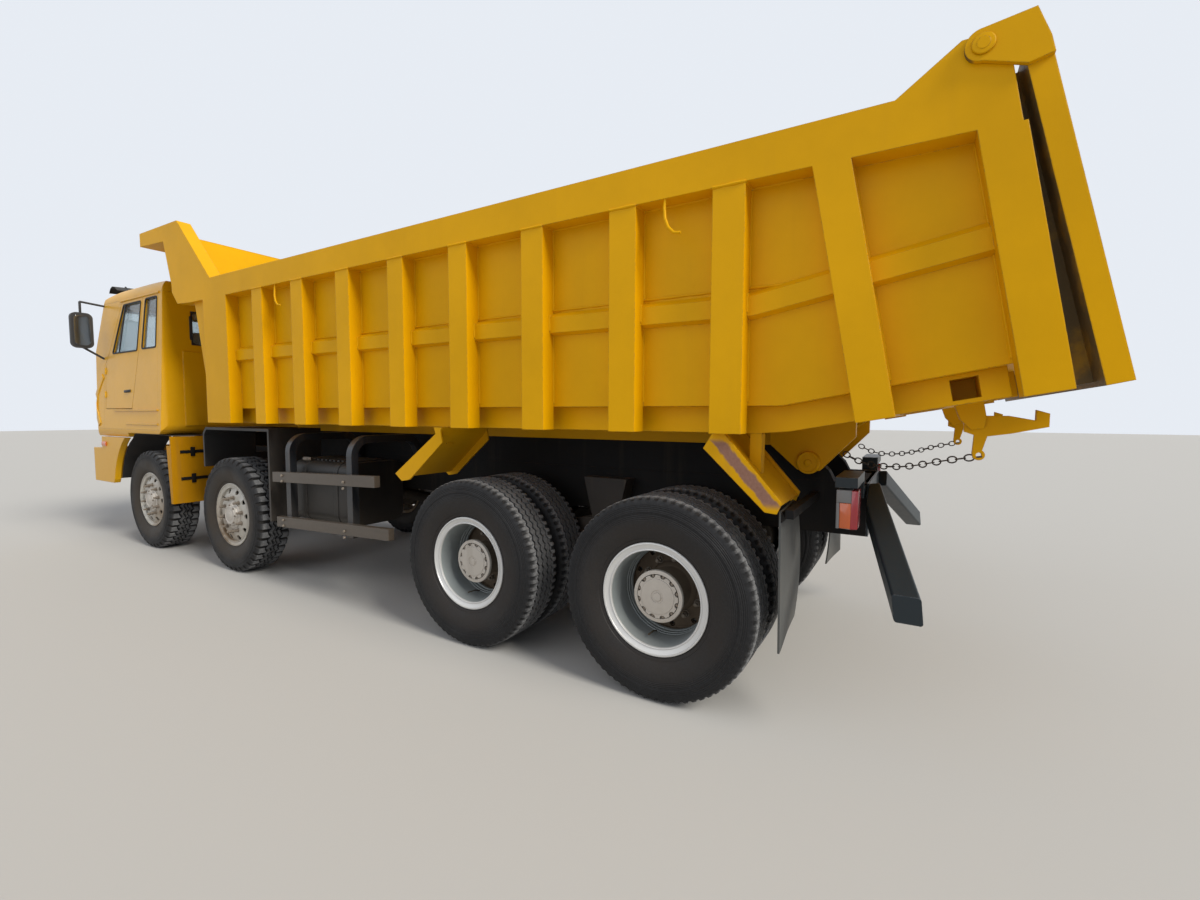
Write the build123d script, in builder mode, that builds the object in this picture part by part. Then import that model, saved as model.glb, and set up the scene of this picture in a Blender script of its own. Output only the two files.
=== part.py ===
from build123d import *
import os
from math import cos, pi, radians, sin, tan

os.makedirs("parts", exist_ok=True)

# Eight by four dump truck in millimetres: X forward, Y to the left, Z up, ground at 0

# Axles and wheels
rear_axle_x = -2985.0
bogie_spacing = 1350.0
middle_spacing = 3175.0
steer_spacing = 1800.0
tyre_r = 555.0
tyre_half = 152.0
tread_half = 112.0
bead_half = 104.0
shoulder_drop = 30.0
rim_r = 290.0
rim_wall = 14.0
rim_lip = 12.0
lip_half = 106.0
front_wheel_y = 1012.0
rear_wheel_y = 1078.0
dual_spacing = 338.0
hub_r = 145.0
drum_r = 200.0
spindle_r = 50.0
axle_tube_r = 70.0
running_fit = 0.3

# Steering knuckles
kingpin_y = 850.0
kingpin_r = 20.0
boss_r = 45.0
boss_half = 62.0
yoke_gap = 6.0
yoke_t = 40.0
web_t = 30.0

# Frame
frame_top = 1160.0
frame_h = 300.0
frame_half = 425.0
flange_w = 80.0
web_wall = 10.0
frame_tail = 950.0
frame_front_x = 4640.0
sub_h = 200.0
sub_w = 90.0
sub_front_x = 1500.0

# Tipping body
bed_half = 1250.0
post_depth = 108.0
sheet = 12.0
bed_low = 1450.0
floor_low = 1585.0
floor_t = 15.0
rail_low = 2605.0
rail_top = 2790.0
bed_front = 4652.0
front_lean = 12.8
tail_start = 624.0
tail_angle = 10.4
tail_length = 1031.0
rail_trim = 15.0
post_w = 155.0
first_post = 3790.0
post_pitch = 590.0
post_count = 7
pivot_post = -310.0
corner_post_w = 422.0
corner_recess = 45.0
canopy_top = 3413.0
canopy_lip = 5950.0
ridge_z = 2095.0
ridge_out = 40.0
seat_gap = 0.3

# Tipping pivot and hoist
pivot_back = 650.0
pivot_z = 1270.0
pivot_r = 40.0
bracket_t = 60.0
bracket_y = 445.0
tip_limit = 50.0
hoist_foot = 1000.0
hoist_foot_z = 950.0
hoist_eye = 3200.0
hoist_eye_z = 1375.0
barrel_r = 95.0
rod_r = 60.0
eye_r = 60.0
eye_pin_r = 25.0

# Tailgate
gate_pin_back = 1337.0
gate_pin_z = 2900.0
gate_pin_r = 22.0
gate_t = 77.0
gate_top_back = 1459.0
gate_top_z = 2850.0
gate_foot_back = 1739.0
gate_foot_z = 1647.0
gate_skin = 55.0
arm_t = 20.0
hook_y = 750.0
hook_t = 30.0
hook_pin_r = 14.0

# Cab
cab_rear = 5760.0
cab_front = 7705.0
cab_low_half = 1212.0
cab_lean = 2.4
cab_floor_z = 1310.0
cab_chin_z = 1260.0
cab_wall = 40.0
roof_z = 2990.0
roof_edge = 155.0
belt_z = 2240.0
door_foot_z = 1590.0
door_gap = 6.0
door_hinge = 7275.0
hump_half = 360.0
hump_wall = 30.0
hump_top = 1560.0
cab_hinge = 7575.0
cab_hinge_z = 1215.0
cab_pin_r = 15.0
glass_t = 8.0

# Places worked out from the sizes above
axle_x = [rear_axle_x + bogie_spacing + middle_spacing + steer_spacing]
axle_x.append(axle_x[0] - steer_spacing)
axle_x.append(rear_axle_x + bogie_spacing)
axle_x.append(rear_axle_x)
panel_out = bed_half - post_depth
panel_in = panel_out - sheet
frame_low = frame_top - frame_h
sub_top = frame_top + sub_h
roof_split_z = roof_z - roof_edge
gate_skin_half = bed_half - 138
canopy_low = canopy_top - 155
bearer_half = bed_half - 190
lean = tan(radians(front_lean))
post_drop = floor_low - bed_low


def ahead(distance):
    """X of a station measured forward from the rearmost axle."""
    return rear_axle_x + distance


def tail(s, n):
    """Point of the rising tail: s back along its floor, n square to it."""
    a = radians(tail_angle)
    x = ahead(-tail_start) - s * cos(a) + n * sin(a)
    return (x, floor_low + s * sin(a) + n * cos(a))


def tail_at(s, z):
    """Point at height z on the line square to the tail floor at s."""
    a = radians(tail_angle)
    return tail(s, (z - floor_low - s * sin(a)) / cos(a))


def front_line(z):
    """X of the leaning front wall's outer face at height z."""
    return ahead(bed_front) + (z - bed_low) * lean


def slab(points, y_low, y_high):
    """Plate of a side outline, from y_low to y_high."""
    with BuildPart() as plate:
        with BuildSketch(Plane.XZ.offset(-y_high)):
            with BuildLine():
                Polyline(*points, close=True)
            make_face()
        extrude(amount=y_high - y_low)
    return plate.part


def brick(x_low, x_high, y_low, y_high, z_low, z_high):
    """Box between two corners."""
    size = (x_high - x_low, y_high - y_low, z_high - z_low)
    middle = ((x_low + x_high) / 2, (y_low + y_high) / 2, (z_low + z_high) / 2)
    return Pos(*middle) * Box(*size)


def cross_bar(x, z, radius, y_low, y_high):
    """Round bar along Y."""
    bar = Cylinder(radius, y_high - y_low, rotation=(90, 0, 0))
    return Pos(x, (y_low + y_high) / 2, z) * bar


def both_sides(part):
    """A piece and its mirror image across the middle."""
    return [part, part.mirror(Plane.XZ)]


def save(piece, label):
    """Write one finished piece."""
    piece.label = label
    export_step(piece, "parts/" + label + ".step")


def fused(solids, cuts=()):
    """Solids joined where they touch, less the cuts."""
    with BuildPart() as piece:
        for solid in solids:
            add(solid)
        for cut in cuts:
            add(cut, mode=Mode.SUBTRACT)
    return piece.part


def joined(label, solids, cuts=()):
    """Fuse solids, take the cuts away and write the piece."""
    save(fused(solids, cuts), label)


def rod(start, end, radius):
    """Round bar between two points."""
    run = end - start
    with BuildPart() as bar:
        with BuildSketch(Plane(origin=start, z_dir=run)):
            Circle(radius)
        extrude(amount=run.length)
    return bar.part


# Frame rails, open inward
def frame_rails():
    with BuildPart() as rail:
        with BuildSketch(Plane.YZ.offset(ahead(-frame_tail))):
            with BuildLine():
                y_in = frame_half - flange_w
                y_web = frame_half - web_wall
                low, high = frame_low, frame_top
                Polyline((frame_half, low), (frame_half, high), (y_in, high), (y_in, high - web_wall),
                         (y_web, high - web_wall), (y_web, low + web_wall), (y_in, low + web_wall),
                         (y_in, low), close=True)
            make_face()
        extrude(amount=frame_front_x - ahead(-frame_tail))
    joined("frame_rails", both_sides(rail.part))


# Crossmembers between the rail webs: distance ahead of the rear axle, depth
crossmembers = [(-880.0, 240.0), (60.0, 180.0), (675.0, 200.0), (3750.0, 200.0), (5150.0, 200.0),
                (7520.0, 200.0)]
member_w = 90.0


def frame_crossmembers():
    y_web = frame_half - web_wall
    bars = []
    for distance, depth in crossmembers:
        x = ahead(distance)
        top = frame_top - web_wall
        bars.append(brick(x - member_w / 2, x + member_w / 2, -y_web, y_web, top - depth, top))
    foot_x = ahead(hoist_foot)
    bars.append(cross_bar(foot_x, hoist_foot_z, eye_pin_r, -y_web, y_web))
    x = ahead(flap_x) - flap_t / 2
    bars += both_sides(brick(x - 38, x, frame_half, flap_out, flap_top - 30, flap_top + 12))
    joined("frame_crossmembers", bars)


# Subframe with the tipping pivot shaft
def subframe():
    tail_x = ahead(-pivot_back)
    outline = [(sub_front_x, frame_top), (sub_front_x, sub_top), (tail_x + 50, sub_top),
               (tail_x - 100, sub_top - 140), (tail_x - 130, frame_top)]
    rail = slab(outline, frame_half - sub_w, frame_half)
    shaft = cross_bar(tail_x, pivot_z, pivot_r, -bracket_y - bracket_t - 20, bracket_y + bracket_t + 20)
    joined("subframe", both_sides(rail) + [shaft])


# Plain block for the engine, and the gearbox and shafts
engine_rear = 6000.0
engine_front = 7250.0
engine_half = 300.0
engine_low = 680.0
engine_top = 1480.0
shaft_r = 55.0
nose_rise = 60.0
nose_reach = 330.0
tail_reach = 210.0
shaft_end_gap = 5.0
mount_low = 920.0
gearbox_half = 190.0


def powertrain():
    block = brick(ahead(engine_rear), ahead(engine_front), -engine_half, engine_half, engine_low, engine_top)
    box_rear = ahead(5230.0)
    box = brick(box_rear, ahead(engine_rear), -gearbox_half, gearbox_half, 730.0, 930.0)
    nose = axle_x[2] + nose_reach + shaft_end_gap
    start = Vector(box_rear, 0, 820.0)
    end = Vector(nose, 0, tyre_r + nose_rise)
    shaft = rod(start, end, shaft_r)
    link_front = axle_x[2] - tail_reach
    link_rear = axle_x[3] + nose_reach
    link = rod(Vector(link_rear, 0, tyre_r + nose_rise), Vector(link_front, 0, tyre_r + nose_rise), shaft_r)
    mounts = []
    for distance in (6150.0, 7050.0):
        x = ahead(distance)
        half = frame_half - web_wall
        mounts.append(brick(x - 40, x + 40, -half, half, mount_low, mount_low + 60))
    joined("powertrain", [block, box, shaft, link] + mounts)


# Axles
beam_half = 55.0
beam_flange = 18.0
beam_web = 24.0


def steer_axles():
    """Drop-forged beams with a boss at each end."""
    solids = []
    for x in axle_x[:2]:
        with BuildPart() as beam:
            with BuildSketch(Plane.XZ.offset(-kingpin_y)):
                with Locations((x, tyre_r)):
                    Rectangle(2 * boss_r, 2 * beam_half)
                    with Locations((boss_r / 2 + beam_web / 4, 0), (-boss_r / 2 - beam_web / 4, 0)):
                        Rectangle(boss_r - beam_web / 2, 2 * (beam_half - beam_flange), mode=Mode.SUBTRACT)
            extrude(amount=2 * kingpin_y)
            with Locations((x, kingpin_y, tyre_r), (x, -kingpin_y, tyre_r)):
                Cylinder(boss_r, 2 * boss_half)
                Cylinder(kingpin_r + running_fit, 2 * boss_half, mode=Mode.SUBTRACT)
        solids.append(beam.part)
    return solids


housing_r = 210.0
nose_r = 110.0
tube_end = 590.0


def drive_axles():
    """Banjo housings with their tubes and spindles."""
    solids = []
    for x in axle_x[2:]:
        with BuildPart() as axle:
            with Locations((x, 0, tyre_r)):
                Cylinder(housing_r, 260, rotation=(0, 90, 0))
                Cylinder(axle_tube_r, 2 * tube_end, rotation=(90, 0, 0))
                Cylinder(spindle_r, 2 * (rear_wheel_y + 22), rotation=(90, 0, 0))
            with Locations((x + nose_reach / 2, 0, tyre_r + nose_rise)):
                Cylinder(nose_r, nose_reach, rotation=(0, 90, 0))
            with Locations((x - tail_reach / 2, 0, tyre_r + nose_rise)):
                Cylinder(shaft_r + 15, tail_reach, rotation=(0, 90, 0))
        solids.append(axle.part)
    return solids


# Leaf springs with their hangers
spring_half = 40.0
spring_y = 385.0
front_spring_reach = 720.0
rear_spring_y = 500.0


def leaf_springs():
    solids = []
    seat = tyre_r + beam_half
    for x in axle_x[:2]:
        top = frame_low
        outline = [(x - 90, seat), (x + 90, seat), (x + 420, seat + 75), (x + front_spring_reach, top - 95),
                   (x + front_spring_reach + 45, top - 95), (x + front_spring_reach + 45, top),
                   (x + front_spring_reach - 45, top), (x + front_spring_reach - 45, top - 60),
                   (x + 380, seat + 135), (x + 90, seat + 95), (x - 90, seat + 95), (x - 380, seat + 135),
                   (x - front_spring_reach + 45, top - 60), (x - front_spring_reach + 45, top),
                   (x - front_spring_reach - 45, top), (x - front_spring_reach - 45, top - 95),
                   (x - front_spring_reach, top - 95), (x - 420, seat + 75)]
        solids += both_sides(slab(outline, spring_y - spring_half, spring_y + spring_half))
    middle = (axle_x[2] + axle_x[3]) / 2
    reach = bogie_spacing / 2
    seat = tyre_r + axle_tube_r
    outline = [(middle - reach - 90, seat), (middle - reach + 90, seat), (middle - 120, seat + 60),
               (middle + 120, seat + 60), (middle + reach - 90, seat), (middle + reach + 90, seat),
               (middle + reach + 90, seat + 40), (middle + 150, seat + 190), (middle - 150, seat + 190),
               (middle - reach - 90, seat + 40)]
    pack = slab(outline, rear_spring_y - 50, rear_spring_y + 50)
    hanger = slab([(middle - 170, frame_top - 60), (middle + 170, frame_top - 60), (middle + 90, seat + 150),
                   (middle - 90, seat + 150)], frame_half, rear_spring_y + 50)
    solids += both_sides(fused([pack, hanger]))
    joined("leaf_springs", solids)


# Bumper with its side returns
bumper_half = 1215.0
bumper_low = 700.0
bumper_top = 1110.0
return_t = 60.0
arch_top = 1250.0
bumper_front_x = 4800.0
arch_end = 6730.0
step_x = 7420.0
lamp_w = 260.0
lamp_h = 130.0
lamp_depth = 60.0
lamp_y = 880.0


def front_bumper():
    with BuildPart() as wing:
        with BuildSketch(Plane.XZ.offset(-bumper_half)):
            with BuildLine():
                ThreePointArc((ahead(7085), bumper_low + 40), (ahead(6965), 1020), (ahead(arch_end), arch_top))
                Polyline((ahead(arch_end), arch_top), (ahead(step_x), arch_top), (ahead(step_x), bumper_top),
                         (frame_front_x + 60, bumper_top), (frame_front_x + 60, bumper_low),
                         (ahead(7110), bumper_low), (ahead(7085), bumper_low + 40))
            make_face()
        extrude(amount=return_t)
    sides = both_sides(wing.part)
    with BuildPart() as beam:
        with BuildSketch(Plane.XY.offset(bumper_low)):
            with BuildLine():
                Polyline((frame_front_x, -bumper_half), (bumper_front_x - 120, -bumper_half),
                         (bumper_front_x, -bumper_half + 190), (bumper_front_x, bumper_half - 190),
                         (bumper_front_x - 120, bumper_half), (frame_front_x, bumper_half), close=True)
            make_face()
        extrude(amount=bumper_top - bumper_low)
    recesses = [brick(bumper_front_x - lamp_depth, bumper_front_x, s * lamp_y - lamp_w / 2,
                      s * lamp_y + lamp_w / 2, 930, 930 + lamp_h) for s in (1, -1)]
    joined("front_bumper", sides + [beam.part], recesses)


def lamps():
    lenses = [brick(bumper_front_x - lamp_depth, bumper_front_x - 5, s * lamp_y - lamp_w / 2,
                    s * lamp_y + lamp_w / 2, 930, 930 + lamp_h) for s in (1, -1)]
    end_x = ahead(-frame_tail)
    lenses += both_sides(brick(end_x, end_x + 110, carrier_out - tail_lamp_w, carrier_out,
                               tail_lamp_low, carrier_top - 50 - seat_gap))
    joined("lamps", lenses)


# Rear guard arms and tail lamp carriers on the end of the frame
guard_w = 107.0
guard_half = 1200.0
guard_end = (-1185.0, 1250.0, 700.0)
guard_root = (-962.0, 380.0, 1110.0)
end_plate_t = 12.0
carrier_out = 930.0
carrier_step = 545.0
carrier_top = 1240.0
tail_lamp_w = 140.0
tail_lamp_low = 983.0


def rear_guard():
    foot = Vector(ahead(guard_end[0]), guard_end[1], guard_end[2])
    root = Vector(ahead(guard_root[0]), guard_root[1], guard_root[2])
    run = foot - root
    with BuildPart() as arm:
        with BuildSketch(Plane(origin=root, x_dir=(1, 0, 0), z_dir=run)):
            Rectangle(guard_w, guard_w)
            fillet(vertices(), 12)
        extrude(amount=run.length)
    end_x = ahead(-frame_tail)
    plate_x = end_x - end_plate_t
    beyond = brick(ahead(-1500), ahead(-700), guard_half, bed_half + 200, 400, 1200)
    inside = brick(plate_x, end_x + 400, 0, guard_half, 400, 1300)
    plate = brick(plate_x, end_x, -frame_half, frame_half, frame_low, frame_top)
    low, high = end_x + 5, end_x + 105
    foot_bar = brick(low, high, frame_half, carrier_step + 15, 1095, 1150)
    upright = brick(low, high, carrier_step, carrier_step + 15, 1095, carrier_top)
    top_bar = brick(low, high, carrier_step, carrier_out, carrier_top - 50, carrier_top)
    carrier = fused([foot_bar, upright, top_bar])
    joined("rear_guard", both_sides(fused([arm.part], [beyond, inside])) + [plate] + both_sides(carrier))


# Mudguards
guard_plate = 25.0


def mudguards_front():
    x = ahead(5600)
    plate = brick(x, x + guard_plate, 780, 1200, 570, 1290)
    lip = slab([(x + guard_plate, 570), (x + guard_plate + 20, 570), (x + guard_plate + 80, 1190),
                (x + guard_plate, 1190)], 1175, 1200)
    stay = brick(x, x + guard_plate, frame_half, 780, 1060, 1140)
    joined("mudguards_front", both_sides(fused([plate, lip, stay])))


def mudguards_second():
    front_x = ahead(5050)
    rear_x = ahead(3830)
    outline = [(front_x, 1000), (front_x, 1340), (front_x - 60, 1400), (rear_x, 1400), (rear_x, 560),
               (rear_x + guard_plate, 560), (rear_x + guard_plate, 1375), (front_x - 72, 1375),
               (front_x - guard_plate, 1330), (front_x - guard_plate, 1000)]
    shell = slab(outline, 640, 1130)
    stay = brick(rear_x, rear_x + guard_plate, frame_half, 640, 1040, 1120)
    stay_front = brick(front_x - guard_plate, front_x, frame_half, 640, 1040, 1120)
    joined("mudguards_second", both_sides(fused([shell, stay, stay_front])))


# Fuel tank on the left, battery box and air tanks on the right
tank_rear = 2800.0
tank_front = 3600.0
tank_in = 520.0
tank_out = 1050.0
tank_low = 600.0
tank_top = 1130.0


def fuel_tank():
    with BuildPart() as tank:
        with BuildSketch(Plane.YZ.offset(ahead(tank_rear))):
            with Locations(((tank_in + tank_out) / 2, (tank_low + tank_top) / 2)):
                RectangleRounded(tank_out - tank_in, tank_top - tank_low, 90)
        extrude(amount=tank_front - tank_rear)
    places = [ahead(tank_rear) + 150, ahead(tank_front) - 200]
    brackets = [brick(x, x + 50, frame_half, tank_in + 60, 900, 1100) for x in places]
    with BuildPart() as straps:
        for x in places:
            with BuildSketch(Plane.YZ.offset(x)):
                with Locations(((tank_in + tank_out) / 2, (tank_low + tank_top) / 2)):
                    RectangleRounded(tank_out - tank_in + 10, tank_top - tank_low + 10, 95)
            extrude(amount=50)
    joined("fuel_tank", [tank.part, straps.part] + brackets)


def battery_and_air():
    box = brick(ahead(2900), ahead(3550), -1050, -540, 640, 1050)
    stays = [brick(x, x + 50, -540, -frame_half, 900, 1000) for x in (ahead(2950), ahead(3450))]
    solids = [box] + stays
    for x in (ahead(2180), ahead(2520)):
        tank = cross_bar(x, 760, 125, -1080, -480)
        strap = brick(x - 30, x + 30, -520, -frame_half, 740, 1000)
        solids += [tank, strap]
    joined("battery_and_air", solids)


# Side guards: two rails that rise a little to the rear, on two bent hoops
rail_y = 1160.0
guard_rail_t = 50.0
guard_rail_h = 86.0
guard_rails = [(3637.0, 946.0, 2265.0, 991.0), (3590.0, 558.0, 2118.0, 610.0)]
hoop_places = [2635.0, 3485.0]
hoop_w = 65.0
hoop_t = 60.0
hoop_top = 1335.0
hoop_bend = 130.0


def side_guards():
    solids = []
    for front, front_z, rear, rear_z in guard_rails:
        outline = [(ahead(front), front_z), (ahead(front), front_z + guard_rail_h),
                   (ahead(rear), rear_z + guard_rail_h), (ahead(rear), rear_z)]
        solids.append(slab(outline, rail_y, rail_y + guard_rail_t))
    y = rail_y - hoop_t / 2
    for place in hoop_places:
        x = ahead(place)
        with BuildPart() as hoop:
            with BuildLine() as path:
                FilletPolyline((x, y, 560), (x, y, hoop_top), (x, frame_half + 120, hoop_top),
                               (x, frame_half, 1100), radius=hoop_bend)
            with BuildSketch(Plane(origin=(x, y, 560), x_dir=(1, 0, 0), z_dir=(0, 0, 1))):
                Rectangle(hoop_w, hoop_t)
            sweep(path=path.line)
        solids.append(hoop.part)
    inside_frame = brick(ahead(2000), ahead(3800), 0, frame_half, 900, 1400)
    joined("side_guards", both_sides(fused(solids, [inside_frame])))


# Flap behind the last wheel on an arm from the frame
flap_x = -655.0
flap_t = 14.0
flap_out = 1170.0
flap_top = 1085.0


def mud_flaps():
    x = ahead(flap_x)
    flap = brick(x - flap_t / 2, x + flap_t / 2, 620, flap_out, 400, flap_top)
    joined("mud_flaps", both_sides(flap))


# Cab hinges and rear cab rests on the frame
lug_y = 385.0
lug_half = 12.0
ear_gap = 3.0
ear_t = 20.0
lug_r = 28.0


def cab_mounts():
    x = ahead(cab_hinge)
    inner = lug_y - lug_half - ear_gap
    outer = lug_y + lug_half + ear_gap
    base = brick(x - 45, x + 45, inner - ear_t, outer + ear_t, frame_top, frame_top + 18)
    ears = [brick(x - 25, x + 25, low, low + ear_t, frame_top + 18, cab_hinge_z + 22)
            for low in (inner - ear_t, outer)]
    pin = cross_bar(x, cab_hinge_z, cab_pin_r, inner - ear_t, outer + ear_t)
    hinge = fused([base, pin] + ears)
    rest = brick(ahead(cab_rear) + 40, ahead(cab_rear) + 110, frame_half - flange_w, frame_half,
                 frame_top, cab_floor_z - seat_gap)
    joined("cab_mounts", both_sides(hinge) + both_sides(rest))


# Cab body as the common part of three outlines
def cab_side_half(z):
    """Half width of the cab's leaning side at height z."""
    return cab_low_half - (z - cab_floor_z) * tan(radians(cab_lean))


roof_bend = 110.0
roof_side_bend = 150.0
front_bend = 290.0
rear_bend = 90.0
roof_fall = 45.0
roof_crown = 6500.0
roof_brow = 6900.0
chin_rear = 6700.0
screen_foot = (7690.0, 2080.0)
screen_head = (7310.0, roof_z - 90)


def cab_form(inset):
    """Closed cab body drawn from the side, the front and above."""
    with BuildPart() as form:
        with BuildSketch(Plane.XZ) as side:
            with BuildLine():
                Polyline((ahead(cab_rear), cab_floor_z), (ahead(cab_rear), roof_z - roof_fall),
                         (ahead(roof_crown), roof_z), (ahead(roof_brow), roof_z - 12),
                         (ahead(screen_head[0]), screen_head[1]),
                         (ahead(screen_foot[0]), screen_foot[1]), (ahead(cab_front), cab_chin_z + 200),
                         (ahead(cab_front) - 10, cab_chin_z), (ahead(chin_rear), cab_chin_z),
                         (ahead(chin_rear - 50), cab_floor_z), close=True)
            make_face()
            if inset:
                offset(amount=-inset, kind=Kind.INTERSECTION)
            roof_rear = side.vertices().group_by(Axis.X)[0].sort_by(Axis.Z)[-1]
            fillet(roof_rear, roof_bend - inset)
        extrude(amount=1400, both=True)
        with BuildSketch(Plane.YZ.offset(ahead(5000))) as across:
            low, high = cab_chin_z - 60, roof_z + 2
            with BuildLine():
                Polyline((-cab_side_half(low), low), (-cab_side_half(high), high),
                         (cab_side_half(high), high), (cab_side_half(low), low), close=True)
            make_face()
            if inset:
                offset(amount=-inset, kind=Kind.INTERSECTION)
            fillet(across.vertices().group_by(Axis.Z)[-1], roof_side_bend - inset)
        extrude(amount=4000, mode=Mode.INTERSECT)
        with BuildSketch(Plane.XY.offset(cab_chin_z - 50)) as plan:
            with BuildLine():
                rear, front = ahead(cab_rear), ahead(cab_front)
                half = cab_low_half + 20
                Polyline((rear, -half), (front, -half), (front, half), (rear, half), close=True)
            make_face()
            if inset:
                offset(amount=-inset, kind=Kind.INTERSECTION)
            fillet(plan.vertices().group_by(Axis.X)[-1], front_bend - inset)
            fillet(plan.vertices().group_by(Axis.X)[0], rear_bend - inset)
        extrude(amount=2000, mode=Mode.INTERSECT)
    return form.part


door_outline = [(6525.0, door_foot_z), (6345.0, belt_z), (6235.0, roof_split_z - 15),
                (6790.0, roof_split_z - 15), (7160.0, belt_z + 20), (door_hinge, belt_z - 110), (door_hinge, door_foot_z)]
window_top = roof_split_z - 55
door_window = [(6388.0, belt_z), (6282.0, window_top), (6750.0, window_top), (7072.0, belt_z)]
quarter_window = [(5910.0, belt_z + 10), (5880.0, window_top + 10), (6165.0, window_top + 10),
                  (6262.0, belt_z + 10)]
front_split = [(7320.0, 1200.0), (7320.0, belt_z - 80), (6860.0, roof_split_z), (7900.0, roof_split_z),
               (7900.0, 1200.0)]
rear_window_half = 900.0
rear_window_low = 2290.0
rear_window_top = roof_z - 330
screen_half = 1010.0
screen_low = 2120.0
ledge_out = 1216.0
panel_rise = 12.0
grille_half = 700.0
grille_slot = 45.0
grille_depth = 22.0
grille_heights = [1500.0 + 85 * i for i in range(5)]
screen_top = roof_z - 190


def side_prism(points, grow=0.0):
    """Side outline through both walls of the cab, grown by a gap."""
    with BuildPart() as prism:
        with BuildSketch(Plane.XZ):
            with BuildLine():
                Polyline(*[(ahead(px), pz) for px, pz in points], close=True)
            make_face()
            if grow:
                offset(amount=grow, kind=Kind.INTERSECTION)
        extrude(amount=1500, both=True)
    return prism.part


# Door hinges: a knuckle on the door between two on the pillar, round one pin
hinge_heights = [1760.0, 2040.0]
hinge_pin_r = 8.0
hinge_out_r = 13.0
hinge_half = 22.0
hinge_step = 2.0
hinge_ear = 14.0
hinge_clear = 5.0


def hinge_bar(z, radius, low, high):
    """Round bar on the left door's leaning axis, from low to high along it."""
    a = radians(cab_lean)
    along = Vector(0, -sin(a), cos(a))
    middle = Vector(ahead(door_hinge + door_gap / 2), cab_side_half(z), z)
    return rod(middle + along * low, middle + along * high, radius)


def hinge_parts():
    """Left side's pillar knuckles with pin, their clearance, door knuckles, theirs, and the bores."""
    ears, ear_room, knuckles, knuckle_room, bores = [], [], [], [], []
    reach = hinge_half + hinge_step
    end = reach + hinge_ear
    for z in hinge_heights:
        ears += [hinge_bar(z, hinge_out_r, reach, end), hinge_bar(z, hinge_out_r, -end, -reach),
                 hinge_bar(z, hinge_pin_r, -end, end)]
        ear_room += [hinge_bar(z, hinge_out_r + hinge_clear, reach - hinge_step, end + hinge_clear),
                     hinge_bar(z, hinge_out_r + hinge_clear, -end - hinge_clear, hinge_step - reach)]
        knuckles.append(hinge_bar(z, hinge_out_r, -hinge_half, hinge_half))
        knuckle_room.append(hinge_bar(z, hinge_out_r + hinge_clear, -hinge_half - hinge_step, reach))
        bores.append(hinge_bar(z, hinge_pin_r + running_fit, -hinge_half - 1, hinge_half + 1))
    return ears, ear_room, knuckles, knuckle_room, bores


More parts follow.
